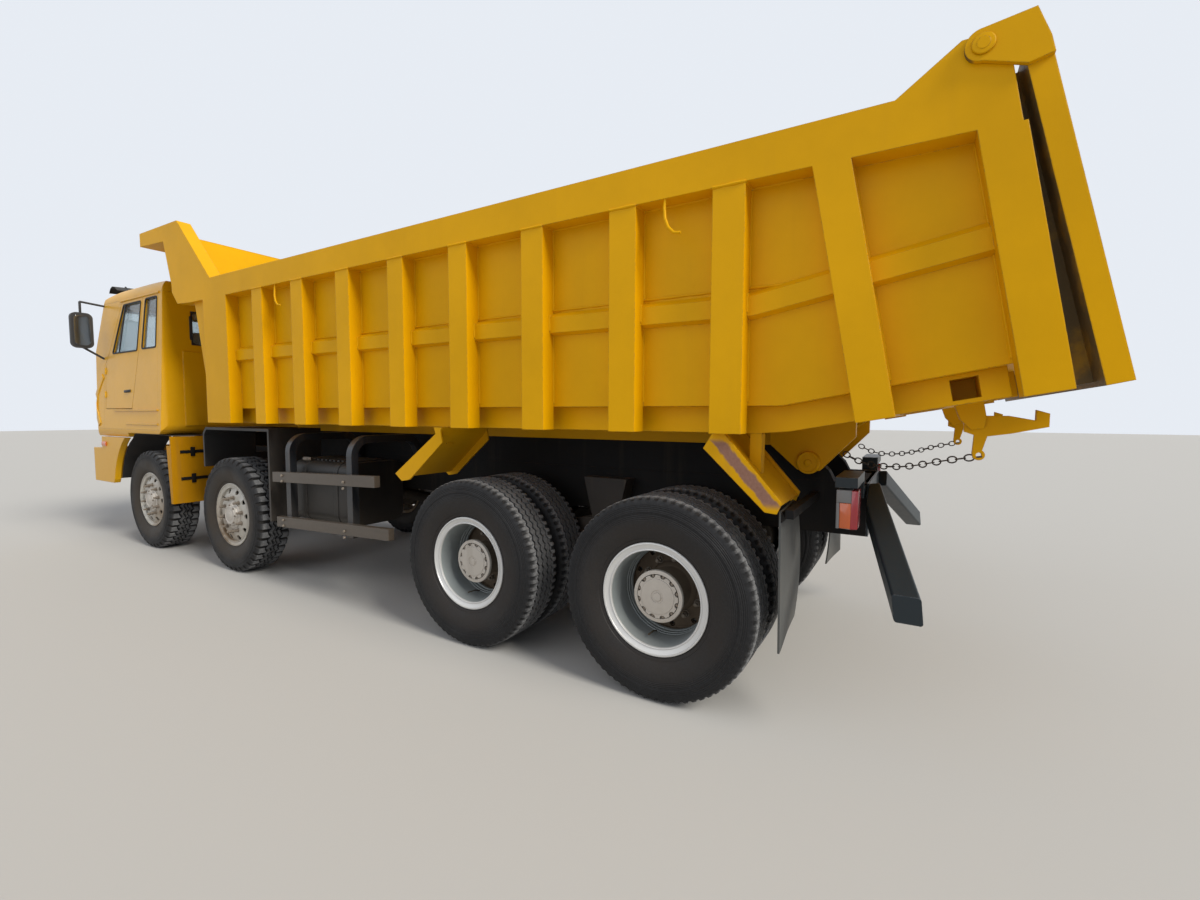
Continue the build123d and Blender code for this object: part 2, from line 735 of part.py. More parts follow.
def cab_pieces():
    outer = cab_form(0)
    inner = cab_form(cab_wall)
    shell = outer - inner
    rear_x, front_x = ahead(cab_rear), ahead(cab_front)
    wall_x = rear_x + 95
    floor_top = cab_floor_z + cab_wall
    door = side_prism(door_outline)
    aperture = side_prism(door_outline, door_gap)
    window = side_prism(door_window)
    quarter = side_prism(quarter_window)
    front_zone = side_prism(front_split)
    high = brick(rear_x - 50, front_x + 50, -1400, 1400, roof_split_z, roof_z + 100)
    low = brick(rear_x - 50, front_x + 50, -1400, 1400, cab_chin_z - 50, floor_top)
    back = brick(rear_x - 50, wall_x, -1400, 1400, floor_top, roof_split_z)
    rear_glass_zone = brick(rear_x - 60, wall_x + 20, -rear_window_half, rear_window_half,
                            rear_window_low, rear_window_top)
    screen_zone = brick(ahead(6900), front_x + 60, -screen_half, screen_half, screen_low, screen_top)
    glass_skin = cab_form(cab_wall / 2 - glass_t / 2) - cab_form(cab_wall / 2 + glass_t / 2)
    lug = slab([(ahead(cab_hinge) - lug_r, cab_chin_z), (ahead(cab_hinge) - lug_r, cab_hinge_z),
                (ahead(cab_hinge) + lug_r, cab_hinge_z), (ahead(cab_hinge) + lug_r, cab_chin_z)],
               lug_y - lug_half, lug_y + lug_half)
    lug_end = cross_bar(ahead(cab_hinge), cab_hinge_z, lug_r, lug_y - lug_half, lug_y + lug_half)
    lug_bore = cross_bar(ahead(cab_hinge), cab_hinge_z, cab_pin_r + running_fit, lug_y - 50, lug_y + 50)
    hump_rear = ahead(5900)
    hump_front = ahead(cab_front - 65)
    hump = brick(hump_rear, hump_front, -hump_half, hump_half, cab_chin_z, hump_top)
    hollow = brick(hump_rear + hump_wall, hump_front, hump_wall - hump_half, hump_half - hump_wall,
                   cab_chin_z - 20, hump_top - hump_wall)
    ledges = [brick(wall_x, ahead(7000), cab_side_half(door_foot_z) - 20, ledge_out, door_foot_z - 30,
                    door_foot_z - 12),
              brick(wall_x, ahead(6660), cab_side_half(1420) - 20, ledge_out, 1405, 1425)]
    panel = brick(rear_x - panel_rise, rear_x + 5, -990, 990, cab_floor_z + 90, rear_window_low - 75)
    slots = [brick(front_x - grille_depth, front_x + 50, -grille_half, grille_half, z, z + grille_slot)
             for z in grille_heights]

    joined("cab_roof", [shell & high])
    tunnel = (hump - hollow) & outer
    joined("cab_floor", [(shell & low) - hump, tunnel] + both_sides(lug) + both_sides(lug_end),
           both_sides(lug_bore) + [hollow])
    joined("cab_rear_wall", [(shell & back) - rear_glass_zone, panel])
    joined("cab_front", [((shell & front_zone) - low - high - screen_zone) - hump], slots)
    sides = ((((shell - low) - high) - back) - front_zone) - aperture - quarter
    left_half = brick(rear_x - 50, front_x + 50, 0, 1400, cab_chin_z - 50, roof_z + 50)
    right_half = left_half.mirror(Plane.XZ)
    ears, ear_room, knuckles, knuckle_room, bores = hinge_parts()
    doors = ((shell & door) - window)
    left_door = fused([fused([doors & left_half], ear_room)] + knuckles, bores)
    left_side = fused([fused([sides & left_half] + ledges, knuckle_room)] + ears)
    joined("cab_sides", both_sides(left_side))
    joined("door_left", [left_door])
    joined("door_right", [left_door.mirror(Plane.XZ)])
    panes = glass_skin & window
    joined("door_glass_left", [panes & left_half])
    joined("door_glass_right", [panes & right_half])
    screen = (glass_skin & screen_zone) & front_zone
    rear_pane = glass_skin & rear_glass_zone
    joined("cab_glass", [screen, rear_pane & back, glass_skin & quarter])


# Seats, dashboard and steering wheel
seat_y = 560.0
seat_top = 1830.0
seat_w = 500.0
dash_half = 1115.0
dash_depth = 455.0


def cab_interior():
    floor_top = cab_floor_z + cab_wall
    solids = []
    for y in (seat_y, -seat_y):
        x = ahead(6080)
        base = brick(x + 60, x + 440, y - 180, y + 180, floor_top, seat_top - 120)
        cushion = brick(x, x + 520, y - seat_w / 2 + 20, y + seat_w / 2 - 20, seat_top - 120, seat_top)
        back = slab([(x, seat_top), (x + 110, seat_top), (x + 20, seat_top + 640), (x - 80, seat_top + 640)],
                    y - seat_w / 2 + 30, y + seat_w / 2 - 30)
        solids.append(fused([base, cushion, back]))
    joined("seats", solids)
    dash_rear = ahead(cab_front - dash_depth)
    dash = slab([(dash_rear + 40, 1720), (dash_rear, 1990), (dash_rear + 80, 2080), (ahead(cab_front), 2080),
                 (ahead(cab_front), 1720)], -dash_half, dash_half)
    with BuildPart() as wheel:
        centre = Plane(origin=(ahead(7010), seat_y, 2060), x_dir=(0, 1, 0), z_dir=(-0.45, 0, 0.89))
        with BuildSketch(centre) as ring:
            Circle(230)
            Circle(200, mode=Mode.SUBTRACT)
            Rectangle(420, 40)
            Circle(60)
        extrude(amount=26)
        with BuildSketch(centre):
            Circle(28)
        extrude(amount=-300)
    column = slab([(ahead(7060), 1800), (ahead(7060), 1850), (ahead(7300), 1900), (ahead(7300), 1760)],
                  seat_y - 40, seat_y + 40)
    joined("dashboard", [dash & cab_form(cab_wall + seat_gap), wheel.part, column])


# Mirrors on two arms
mirror_x = 7330.0
arm_r = 12.0
mirror_y = 1370.0
mirror_z = 2505.0
mirror_w = 200.0
mirror_h = 410.0


def mirrors():
    x = ahead(mirror_x)
    with BuildPart() as shell:
        with Locations((x, mirror_y, mirror_z)):
            Box(70, mirror_w, mirror_h)
        fillet(shell.edges().filter_by(Axis.X), 60)
        fillet(shell.faces().sort_by(Axis.X)[-1].edges(), 25)
    head = shell.part
    low_root = Vector(x, cab_side_half(belt_z - 50) - 2, belt_z - 50)
    low_tip = Vector(x, mirror_y, mirror_z - mirror_h / 2 + 15)
    high_root = Vector(x, cab_side_half(roof_z) - 60, roof_z - 175)
    high_bend = Vector(x, mirror_y, roof_z - 150)
    high_tip = Vector(x, mirror_y, mirror_z + mirror_h / 2 - 15)
    arms = [rod(low_root, low_tip, arm_r), rod(high_root, high_bend, arm_r), rod(high_bend, high_tip, arm_r)]
    joined("mirrors", both_sides(fused([head] + arms, [cab_form(0)])))


# Knuckles: a yoke round the axle boss with king pin and spindle
def knuckle(x, side):
    yoke_in = boss_half + yoke_gap
    web_in = kingpin_y + boss_r + yoke_gap
    with BuildPart() as yoke:
        for z in (tyre_r + yoke_in + yoke_t / 2, tyre_r - yoke_in - yoke_t / 2):
            with Locations((x, kingpin_y, z)):
                Cylinder(boss_r, yoke_t)
            with Locations((x, (kingpin_y + web_in + web_t) / 2, z)):
                Box(2 * boss_r, web_in + web_t - kingpin_y, yoke_t)
        with Locations((x, kingpin_y, tyre_r)):
            Cylinder(kingpin_r, 2 * yoke_in + 2)
    web = brick(x - boss_r, x + boss_r, web_in, web_in + web_t, tyre_r - yoke_in, tyre_r + yoke_in)
    spindle = cross_bar(x, tyre_r, spindle_r, web_in + web_t, front_wheel_y + 95)
    part = fused([yoke.part, web, spindle])
    return part if side > 0 else part.mirror(Plane.XZ)


# Tyres and rims
hub_waist = 110.0
nut_circle = 167.5
hand_hole_r = 16.0
front_hole_circle = 216.0
rear_hole_circle = 222.0


def tyre(x, y):
    """One tyre round a wheel centre."""
    plane = Plane(origin=(x, y, tyre_r), x_dir=(1, 0, 0), z_dir=(0, 0, 1))
    bulge_r = (rim_r + tyre_r) / 2
    with BuildPart() as ring:
        with BuildSketch(plane):
            with BuildLine():
                Polyline((rim_r + running_fit, -bead_half), (rim_r + rim_lip, -bead_half),
                         (bulge_r, -tyre_half), (tyre_r - shoulder_drop, -tyre_half + 12), (tyre_r, -tread_half), (tyre_r, tread_half),
                         (tyre_r - shoulder_drop, tyre_half - 12), (bulge_r, tyre_half),
                         (rim_r + rim_lip, bead_half), (rim_r + running_fit, bead_half), close=True)
            make_face()
        revolve(axis=Axis((x, y, tyre_r), (0, 1, 0)))
    return ring.part


def turned(x, points):
    """Body turned about a wheel axis from its (radius, y) outline."""
    plane = Plane(origin=(x, 0, tyre_r), x_dir=(1, 0, 0), z_dir=(0, 0, 1))
    with BuildPart() as body:
        with BuildSketch(plane):
            with BuildLine():
                Polyline(*points, close=True)
            make_face()
        revolve(axis=Axis((x, 0, tyre_r), (0, 1, 0)))
    return body.part


def hand_holes(x, circle, radius, count, y_low, y_high):
    """Bars that cut a ring of holes through a disc."""
    bars = []
    for i in range(count):
        a = 2 * pi * (i + 0.5) / count
        bars.append(Pos(circle * cos(a), 0, circle * sin(a)) * cross_bar(x, tyre_r, radius, y_low, y_high))
    return bars


def front_rim(x):
    """Disc set outboard, with hub and drum behind."""
    y = front_wheel_y
    bore = spindle_r + running_fit
    back = kingpin_y + boss_r + yoke_gap + web_t + 8
    half = lip_half + 14
    inner = rim_r - rim_wall
    points = [(bore, back), (drum_r, back), (drum_r, back + 90), (hub_waist, back + 90), (hub_waist, y + 60),
              (inner - 40, y + 50), (inner, y + 30), (inner, y - half), (rim_r + rim_lip, y - half),
              (rim_r + rim_lip, y - lip_half), (rim_r, y - lip_half), (rim_r, y + lip_half),
              (rim_r + rim_lip, y + lip_half), (rim_r + rim_lip, y + half), (inner, y + half),
              (inner, y + 66), (inner - 40, y + 82), (nut_circle - 25, y + 88), (hub_waist + 20, y + 84),
              (hub_waist, y + 100), (hub_waist - 5, y + 130), (hub_waist - 20, y + 136), (80, y + 145),
              (0, y + 150), (0, y + 98), (bore, y + 98)]
    return fused([turned(x, points)], hand_holes(x, front_hole_circle, hand_hole_r, 8, y + 30, y + 110))


def rear_rim(x):
    """Two dished rims back to back on one hub."""
    y = rear_wheel_y
    middle = y - dual_spacing / 2
    bore = spindle_r + running_fit
    half = lip_half + 14
    inner = rim_r - rim_wall
    disc = 14
    low = middle - dual_spacing / 2
    points = [(bore, tube_end + 8), (drum_r, tube_end + 8), (drum_r, middle - 30), (inner - 30, middle - disc),
              (inner, middle - 40), (inner, low - half), (rim_r + rim_lip, low - half),
              (rim_r + rim_lip, low - lip_half), (rim_r, low - lip_half), (rim_r, low + lip_half),
              (rim_r + rim_lip, low + lip_half), (rim_r + rim_lip, low + half), (inner + 6, low + half),
              (inner - 24, middle), (inner + 6, y - half), (rim_r + rim_lip, y - half),
              (rim_r + rim_lip, y - lip_half), (rim_r, y - lip_half), (rim_r, y + lip_half),
              (rim_r + rim_lip, y + lip_half), (rim_r + rim_lip, y + half), (inner, y + half),
              (inner, middle + 40), (inner - 30, middle + disc), (hub_r, middle + disc),
              (hub_r, middle + disc + 12), (hub_r - 17, middle + disc + 20), (hub_r - 17, y + 32),
              (hub_r, y + 38), (hub_r, y + 55), (hub_r - 14, y + 60), (hub_r - 40, y + 62), (30, y + 66),
              (30, y + 71), (0, y + 72), (0, y + 30), (bore, y + 30)]
    return fused([turned(x, points)], hand_holes(x, rear_hole_circle, hand_hole_r, 10, middle - 36, middle + 30))


def wheels():
    for axle in (1, 2, 3, 4):
        x = axle_x[axle - 1]
        rim = front_rim(x) if axle < 3 else rear_rim(x)
        places = [front_wheel_y] if axle < 3 else [rear_wheel_y, rear_wheel_y - dual_spacing]
        tyres = [tyre(x, y) for y in places]
        for side, name in ((1, "l"), (-1, "r")):
            place = str(axle) + name
            joined("rim_" + place, [rim if side > 0 else rim.mirror(Plane.XZ)])
            joined("tyre_" + place, [t if side > 0 else t.mirror(Plane.XZ) for t in tyres])
            if axle < 3:
                joined("knuckle_" + place, [knuckle(x, side)])


# Posts of the body's side: place of the front edge ahead of the rear axle
upright_posts = [first_post - post_pitch * i for i in range(post_count)] + [pivot_post]
leaning_posts = [309.0, 880.0]


def side_outline():
    """Panel outline from the front wall to the rear end."""
    return [(front_line(floor_low), floor_low), (ahead(-tail_start), floor_low), tail(tail_length, 0),
            tail_at(tail_length, rail_low + 20), (front_line(rail_low + 20), rail_low + 20)]


def bed_side():
    solids = [slab(side_outline(), panel_in, panel_out)]
    for place in upright_posts:
        x = ahead(place)
        solids.append(brick(x - post_w, x, panel_out, bed_half, bed_low, rail_low))
    for s in leaning_posts:
        outline = [tail(s, -post_drop), tail(s + post_w - 5, -post_drop), tail_at(s + post_w - 5, rail_low),
                   tail_at(s, rail_low)]
        solids.append(slab(outline, panel_out, bed_half))
    corner_x = ahead(bed_front) - corner_post_w
    solids.append(brick(corner_x, front_line(bed_low), panel_out, bed_half, bed_low, rail_low))
    solids.append(slab([(front_line(bed_low) - 20, bed_low), (front_line(bed_low), bed_low),
                        (front_line(rail_low), rail_low), (front_line(bed_low) - 20, rail_low)],
                       panel_in, bed_half - corner_recess))
    end = tail_length - rail_trim
    shoulder = gate_pin_z + 45
    rail = [(front_line(rail_low), rail_low), (ahead(5163), rail_low + 14), (ahead(5270), rail_top - 51),
            (ahead(5273), rail_top + 24), (ahead(5413), canopy_low), (ahead(canopy_lip), canopy_low + 29),
            (ahead(canopy_lip), canopy_top + 8), (ahead(5110), canopy_top), (ahead(4503), rail_top),
            (ahead(-1056), rail_top), (ahead(-1271), shoulder), (ahead(-1360), shoulder),
            tail_at(end, gate_pin_z - 51), tail_at(end, rail_low)]
    solids.append(slab(rail, panel_in, bed_half))
    solids.append(ridge())
    pin = cross_bar(ahead(-gate_pin_back), gate_pin_z, gate_pin_r, panel_out, bed_half + arm_t + 12)
    solids.append(pin)
    return solids


def ridge():
    """Angle bar along the panel, level and then rising with the tail."""
    outer = panel_out + ridge_out
    section = [(panel_out - 4, ridge_z + 52), (outer, ridge_z + 20), (outer, ridge_z - 70),
               (panel_out - 4, ridge_z - 85)]
    height = ridge_z - floor_low
    corner = tail(-height * tan(radians(tail_angle) / 2), height)
    end = tail(tail_length - 40, height)
    with BuildPart() as bar:
        with BuildLine() as path:
            Polyline((ahead(4300), 0, ridge_z), (corner[0], 0, corner[1]), (end[0], 0, end[1]))
        with BuildSketch(Plane(origin=(ahead(4300), 0, ridge_z), x_dir=(0, 1, 0), z_dir=(-1, 0, 0))):
            with BuildLine():
                Polyline(*[(y, ridge_z - z) for y, z in section], close=True)
            make_face()
        sweep(path=path.line, transition=Transition.RIGHT)
    return bar.part


def bed_sides():
    joined("bed_sides", both_sides(fused(bed_side())))


def bed_floor():
    """Floor sheet with the rising tail."""
    outline = [(front_line(floor_low) - sheet, floor_low), (ahead(-tail_start), floor_low), tail(tail_length, 0),
               tail(tail_length, floor_t), (ahead(-tail_start), floor_low + floor_t),
               (front_line(floor_low) - sheet, floor_low + floor_t)]
    joined("bed_floor", [slab(outline, -panel_in, panel_in)])


rib_w = 90.0
rib_depth = 55.0
rib_places = [-760.0, -260.0, 260.0, 760.0]


def bed_front_wall():
    """Leaning front wall with ribs, and the sheet over the cab."""
    wall_x = front_line(canopy_low)
    lip_x = ahead(canopy_lip)
    lip_low = canopy_low + 29
    wall = [(front_line(bed_low) - sheet, bed_low), (front_line(bed_low), bed_low), (wall_x, canopy_low),
            (wall_x, canopy_low + sheet), (front_line(canopy_low + sheet) - sheet, canopy_low + sheet)]
    roof = [(wall_x - sheet, canopy_low), (lip_x, lip_low), (lip_x, lip_low + sheet),
            (wall_x - sheet, canopy_low + sheet)]
    lip = [(lip_x - sheet, lip_low), (lip_x, lip_low), (lip_x, canopy_top), (lip_x - sheet, canopy_top)]
    solids = [slab(wall, -panel_in, panel_in), slab(roof, -panel_in, panel_in), slab(lip, -panel_in, panel_in)]
    for y in rib_places:
        rib = [(front_line(bed_low), bed_low), (front_line(bed_low) + rib_depth, bed_low),
               (front_line(canopy_low - 300) + rib_depth, canopy_low - 300), (lip_x - 300, canopy_low + 15),
               (wall_x, canopy_low)]
        solids.append(slab(rib, y - rib_w / 2, y + rib_w / 2))
    joined("bed_front_wall", solids)


bearer_w = 100.0
sill_w = 80.0
boss_ring_r = 44.0
boss_step = 12.0
box_wall = 10.0


def bed_underframe():
    """Long sills, cross bearers, rear box, pivot brackets and hoist ears."""
    low = sub_top + seat_gap
    pivot_x = ahead(-pivot_back)
    front_x = ahead(bed_front) - 60
    top_front = floor_low
    solids = []
    sill = [(front_x, low), (front_x, top_front), (ahead(-tail_start), floor_low), tail(tail_length - 60, 0),
            tail(tail_length - 60, -post_drop + 10), tail(240, -post_drop + 10), (pivot_x - 50, low)]
    solids += both_sides(slab(sill, frame_half - sill_w, frame_half))
    edge = [(front_x, bed_low), (front_x, floor_low), (ahead(-tail_start), floor_low), tail(tail_length - 160, 0),
            tail(tail_length - 160, -post_drop + 10), tail(0, -post_drop + 10), (ahead(-tail_start) + 120, bed_low)]
    solids += both_sides(slab(edge, bearer_half - sill_w, bearer_half))
    for place in upright_posts:
        x = ahead(place) - post_w / 2
        solids.append(brick(x - bearer_w / 2, x + bearer_w / 2, -bearer_half, bearer_half, bed_low, floor_low))
    for s in (309.0, 660.0):
        outline = [tail(s, 0), tail(s + 150, 0), tail(s + 150, -post_drop + 10), tail(s, -post_drop + 10)]
        solids.append(slab(outline, -bearer_half, bearer_half))
    plate = [(ahead(-430), floor_low), (ahead(-430), 1369), (pivot_x + 60, 1225), (pivot_x - 60, 1225),
             (ahead(-890), 1420), tail(260, -60), tail(200, 0), (ahead(-tail_start), floor_low)]
    solids += both_sides(slab(plate, bracket_y, bracket_y + bracket_t))
    boss_end = bracket_y + bracket_t + boss_step
    solids += both_sides(cross_bar(pivot_x, pivot_z, boss_ring_r, boss_end - boss_step, boss_end))
    eye_x = ahead(hoist_eye)
    for y in (eye_r + 6, -eye_r - 6 - 20):
        solids.append(brick(eye_x - 70, eye_x + 70, y, y + 20, hoist_eye_z - 60, floor_low))
    solids.append(brick(eye_x - 160, eye_x + 160, -frame_half + 20, frame_half - 20, floor_low - 90, floor_low))
    hook_x, hook_z = hook_pivot()
    for y in (hook_y - hook_t / 2 - 26, hook_y + hook_t / 2 + 6):
        ear = [tail(680, -60), tail(800, -60), tail(800, -200), tail(785, -245), tail(735, -245),
               tail(700, -190)]
        solids += both_sides(slab(ear, y, y + 20))
    pin_half = hook_t / 2 + 26
    solids += both_sides(cross_bar(hook_x, hook_z, hook_pin_r, hook_y - pin_half, hook_y + pin_half))
    hollow = [tail(672, -box_wall - 8), tail(772, -box_wall - 8), tail(772, box_wall + 18 - post_drop),
              tail(672, box_wall + 18 - post_drop)]
    cuts = both_sides(slab(hollow, hook_y + 120, bearer_half + 10))
    cuts += both_sides(cross_bar(pivot_x, pivot_z, pivot_r + running_fit, bracket_y - 10, boss_end + 10))
    joined("bed_underframe", solids, cuts)


def hook_pivot():
    """Place of the gate hook's pin."""
    return tail(759, -218)


# Bent plates before and behind the bogie wheels: distance ahead and height of each point
wing_in = 740.0
wing_out = bed_half - 50
wing_plates = [[(1560.0, bed_low), (1585.0, bed_low), (1622.0, 1403.0), (1965.0, 1108.0), (1950.0, 1092.0),
                (1600.0, 1393.0)],
               [(-330.0, bed_low), (-345.0, bed_low), (-640.0, 1112.0), (-625.0, 1100.0)]]
wing_lips = [[(1580.0, bed_low), (1560.0, 1350.0), (1893.0, 1076.0), (1975.0, 1062.0), (2042.0, 1112.0),
              (1624.0, 1406.0), (1640.0, bed_low)],
             [(-312.0, bed_low), (-266.0, 1375.0), (-574.0, 1081.0), (-629.0, 1077.0), (-652.0, 1130.0),
              (-372.0, bed_low)]]
wing_struts = [(1660.0, 1710.0, 1330.0), (-520.0, -460.0, 1240.0)]
lip_t = 12.0


def bed_wings():
    solids = []
    for outline in wing_plates:
        solids.append(slab([(ahead(x), z) for x, z in outline], wing_in, wing_out))
    for outline in wing_lips:
        points = [(ahead(x), z) for x, z in outline]
        solids.append(slab(points, wing_out - lip_t, wing_out))
        solids.append(slab(points, wing_in, wing_in + lip_t))
    for low, high, foot in wing_struts:
        solids.append(brick(ahead(low), ahead(high), bearer_half - 60, bearer_half, foot, bed_low))
    joined("bed_wings", both_sides(fused(solids)))


def gate_point(down, back):
    """Point of the gate's side: down along its front face, back square to it."""
    top = Vector(ahead(-gate_top_back), gate_top_z)
    foot = Vector(ahead(-gate_foot_back), gate_foot_z)
    along = (foot - top).normalized()
    out = Vector(along.Y, -along.X)
    point = top + along * down + out * back
    return (point.X, point.Y)


def tailgate():
    """Framed gate with an inner skin and two hinge arms."""
    length = Vector(gate_top_back - gate_foot_back, gate_top_z - gate_foot_z).length
    full = [gate_point(0, 0), gate_point(length, 0), gate_point(length, gate_t), gate_point(0, gate_t)]
    pocket = [gate_point(120, sheet), gate_point(length - 120, sheet), gate_point(length - 120, gate_t + 10),
              gate_point(120, gate_t + 10)]
    skin = [gate_point(4, 0), gate_point(length - 20, 0), gate_point(length - 20, -gate_skin),
            gate_point(4, -gate_skin)]
    solids = [slab(full, -bed_half, bed_half), slab(skin, -gate_skin_half, gate_skin_half)]
    pin_x = ahead(-gate_pin_back)
    arm = [(pin_x, gate_pin_z + 58), gate_point(-118, 60), gate_point(10, gate_t), gate_point(40, gate_t - 10),
           gate_point(60, 0), (pin_x, gate_pin_z - 58)]
    block = [gate_point(0, 25), gate_point(-100, 25), gate_point(-118, 60), gate_point(0, gate_t)]
    arms = slab(arm, bed_half + seat_gap, bed_half + arm_t)
    blocks = slab(block, bed_half - 100, bed_half + arm_t)
    boss = cross_bar(pin_x, gate_pin_z, 58, bed_half + seat_gap, bed_half + arm_t)
    tie = slab([gate_point(0, 0), gate_point(60, 0), gate_point(60, gate_t), gate_point(0, gate_t)],
               bed_half - 10, bed_half + arm_t)
    for part in (arms, blocks, boss, tie):
        solids += both_sides(part)
    cuts = []
    for y in (-810.0, 0.0, 810.0):
        cuts.append(slab(pocket, y - 345, y + 345))
    pin_hole = cross_bar(pin_x, gate_pin_z, gate_pin_r + running_fit, bed_half - 20, bed_half + arm_t + 20)
    cuts += both_sides(pin_hole)
    joined("tailgate", solids, cuts)


def gate_hooks():
    x, z = hook_pivot()
    outline = [(x + 45, z - 40), (x + 45, z + 34), (x - 120, z + 34), (x - 215, z + 14), (x - 215, z + 60),
               (x - 262, z + 44), (x - 262, z - 14), (x - 130, z - 46), (x - 45, z - 60), (x - 22, z - 150),
               (x + 10, z - 142), (x + 5, z - 55)]
    plate = slab(outline, hook_y - hook_t / 2, hook_y + hook_t / 2)
    eye = cross_bar(x - 16, z - 146, 24, hook_y - hook_t / 2, hook_y + hook_t / 2)
    plate = fused([plate, eye], [cross_bar(x - 16, z - 146, 11, hook_y - 50, hook_y + 50)])
    bore = cross_bar(x, z, hook_pin_r + running_fit, hook_y - 50, hook_y + 50)
    joined("gate_hooks", both_sides(plate), both_sides(bore))


def hoist():
    """Barrel on the frame's cross pin, rod ending between the body's ears."""
    foot = Vector(ahead(hoist_foot), 0, hoist_foot_z)
    eye = Vector(ahead(hoist_eye), 0, hoist_eye_z)
    run = eye - foot
    along = run.normalized()
    with BuildPart() as barrel:
        with BuildSketch(Plane(origin=foot + along * 45, z_dir=along)):
            Circle(barrel_r)
        extrude(amount=run.length - 245)
    eye_ring = cross_bar(foot.X, foot.Z, eye_r, -50, 50)
    pin_bore = cross_bar(foot.X, foot.Z, eye_pin_r + running_fit, -60, 60)
    rod_bore = rod(foot + along * 300, eye, rod_r + running_fit)
    joined("hoist_barrel", [barrel.part, eye_ring], [pin_bore, rod_bore])
    joined("hoist_rod", [rod(foot + along * 340, eye, rod_r), cross_bar(eye.X, eye.Z, eye_r, -eye_r, eye_r)])


frame_rails()
frame_crossmembers()
subframe()
powertrain()
joined("axles", steer_axles() + drive_axles())
leaf_springs()
front_bumper()
rear_guard()
lamps()
mudguards_front()
mudguards_second()
fuel_tank()
battery_and_air()
side_guards()
mud_flaps()
cab_mounts()
cab_pieces()
cab_interior()
mirrors()
wheels()
bed_sides()
bed_floor()
bed_front_wall()
bed_underframe()
bed_wings()
tailgate()
gate_hooks()
hoist()
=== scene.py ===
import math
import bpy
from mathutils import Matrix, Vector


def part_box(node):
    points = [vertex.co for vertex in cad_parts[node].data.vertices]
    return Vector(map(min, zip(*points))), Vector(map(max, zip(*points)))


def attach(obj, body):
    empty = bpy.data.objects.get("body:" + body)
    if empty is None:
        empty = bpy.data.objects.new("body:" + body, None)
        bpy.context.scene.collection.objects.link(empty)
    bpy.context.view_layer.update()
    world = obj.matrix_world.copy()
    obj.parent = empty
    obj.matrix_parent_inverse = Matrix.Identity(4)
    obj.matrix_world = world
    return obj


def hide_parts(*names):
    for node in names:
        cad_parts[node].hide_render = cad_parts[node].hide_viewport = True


bl_info = {
    "name": "Dump Truck Dressing",
    "version": (1, 1, 0),
    "blender": (4, 5, 0),
    "location": "View3D > Sidebar > Dump Truck",
    "description": "Finishes and small parts of an eight by four dump truck",
    "category": "Object",
}

import bmesh
import bpy
from bpy.props import FloatProperty, FloatVectorProperty, IntProperty, PointerProperty
from mathutils import Matrix, Vector
from mathutils.bvhtree import BVHTree

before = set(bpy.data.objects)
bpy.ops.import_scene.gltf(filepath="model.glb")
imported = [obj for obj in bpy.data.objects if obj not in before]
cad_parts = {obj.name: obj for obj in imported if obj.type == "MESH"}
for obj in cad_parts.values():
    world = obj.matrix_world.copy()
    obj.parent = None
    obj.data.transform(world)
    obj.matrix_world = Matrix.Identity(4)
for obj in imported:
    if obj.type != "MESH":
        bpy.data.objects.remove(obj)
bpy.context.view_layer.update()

# Wheel places in metres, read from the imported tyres
WHEEL_Z = sum(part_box("tyre_1l")[i].z for i in (0, 1)) / 2
TYRE_R = (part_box("tyre_1l")[1].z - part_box("tyre_1l")[0].z) / 2
AXLE_X = {n: sum(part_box("tyre_%dl" % n)[i].x for i in (0, 1)) / 2 for n in (1, 2, 3, 4)}
TYRE_HALF = 0.152
FRONT_Y = sum(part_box("tyre_1l")[i].y for i in (0, 1)) / 2
REAR_OUT_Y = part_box("tyre_3l")[1].y - TYRE_HALF
REAR_IN_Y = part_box("tyre_3l")[0].y + TYRE_HALF
SIDES = (("l", 1), ("r", -1))
REAR_X = AXLE_X[4]

# Cab and bed places in metres: stations are measured forward from the rearmost axle
CAB_LOW_HALF = 1.212
CAB_FLOOR_Z = 1.310
CAB_LEAN = math.tan(math.radians(2.4))
BED_HALF = 1.250
PANEL_OUT = 1.142
POST_W = 0.155
POST_PLACES = [3.790 - 0.590 * i for i in range(7)] + [-0.310]
RAIL_LOW = 2.605
FLOOR_LOW = 1.585
TAIL_START = 0.624
TAIL_ANGLE = math.radians(10.4)

# Kinds of node sockets
NUMBER, WHOLE, VECTOR, COLOUR = ("NodeSocket" + kind for kind in ("Float", "Int", "Vector", "Color"))


def ahead(station):
    """X of a station ahead of the rearmost axle."""
    return REAR_X + station


def tail(s, n):
    """Point of the rising tail: s back along its floor, n square to it."""
    return (ahead(-TAIL_START) - s * math.cos(TAIL_ANGLE) + n * math.sin(TAIL_ANGLE),
            FLOOR_LOW + s * math.sin(TAIL_ANGLE) + n * math.cos(TAIL_ANGLE))


def tail_at(s, z):
    """Point at height z on the line square to the tail floor at s."""
    return tail(s, (z - FLOOR_LOW - s * math.sin(TAIL_ANGLE)) / math.cos(TAIL_ANGLE))


def cab_half(z):
    """Half width of the cab's leaning side at height z."""
    return CAB_LOW_HALF - (z - CAB_FLOOR_Z) * CAB_LEAN


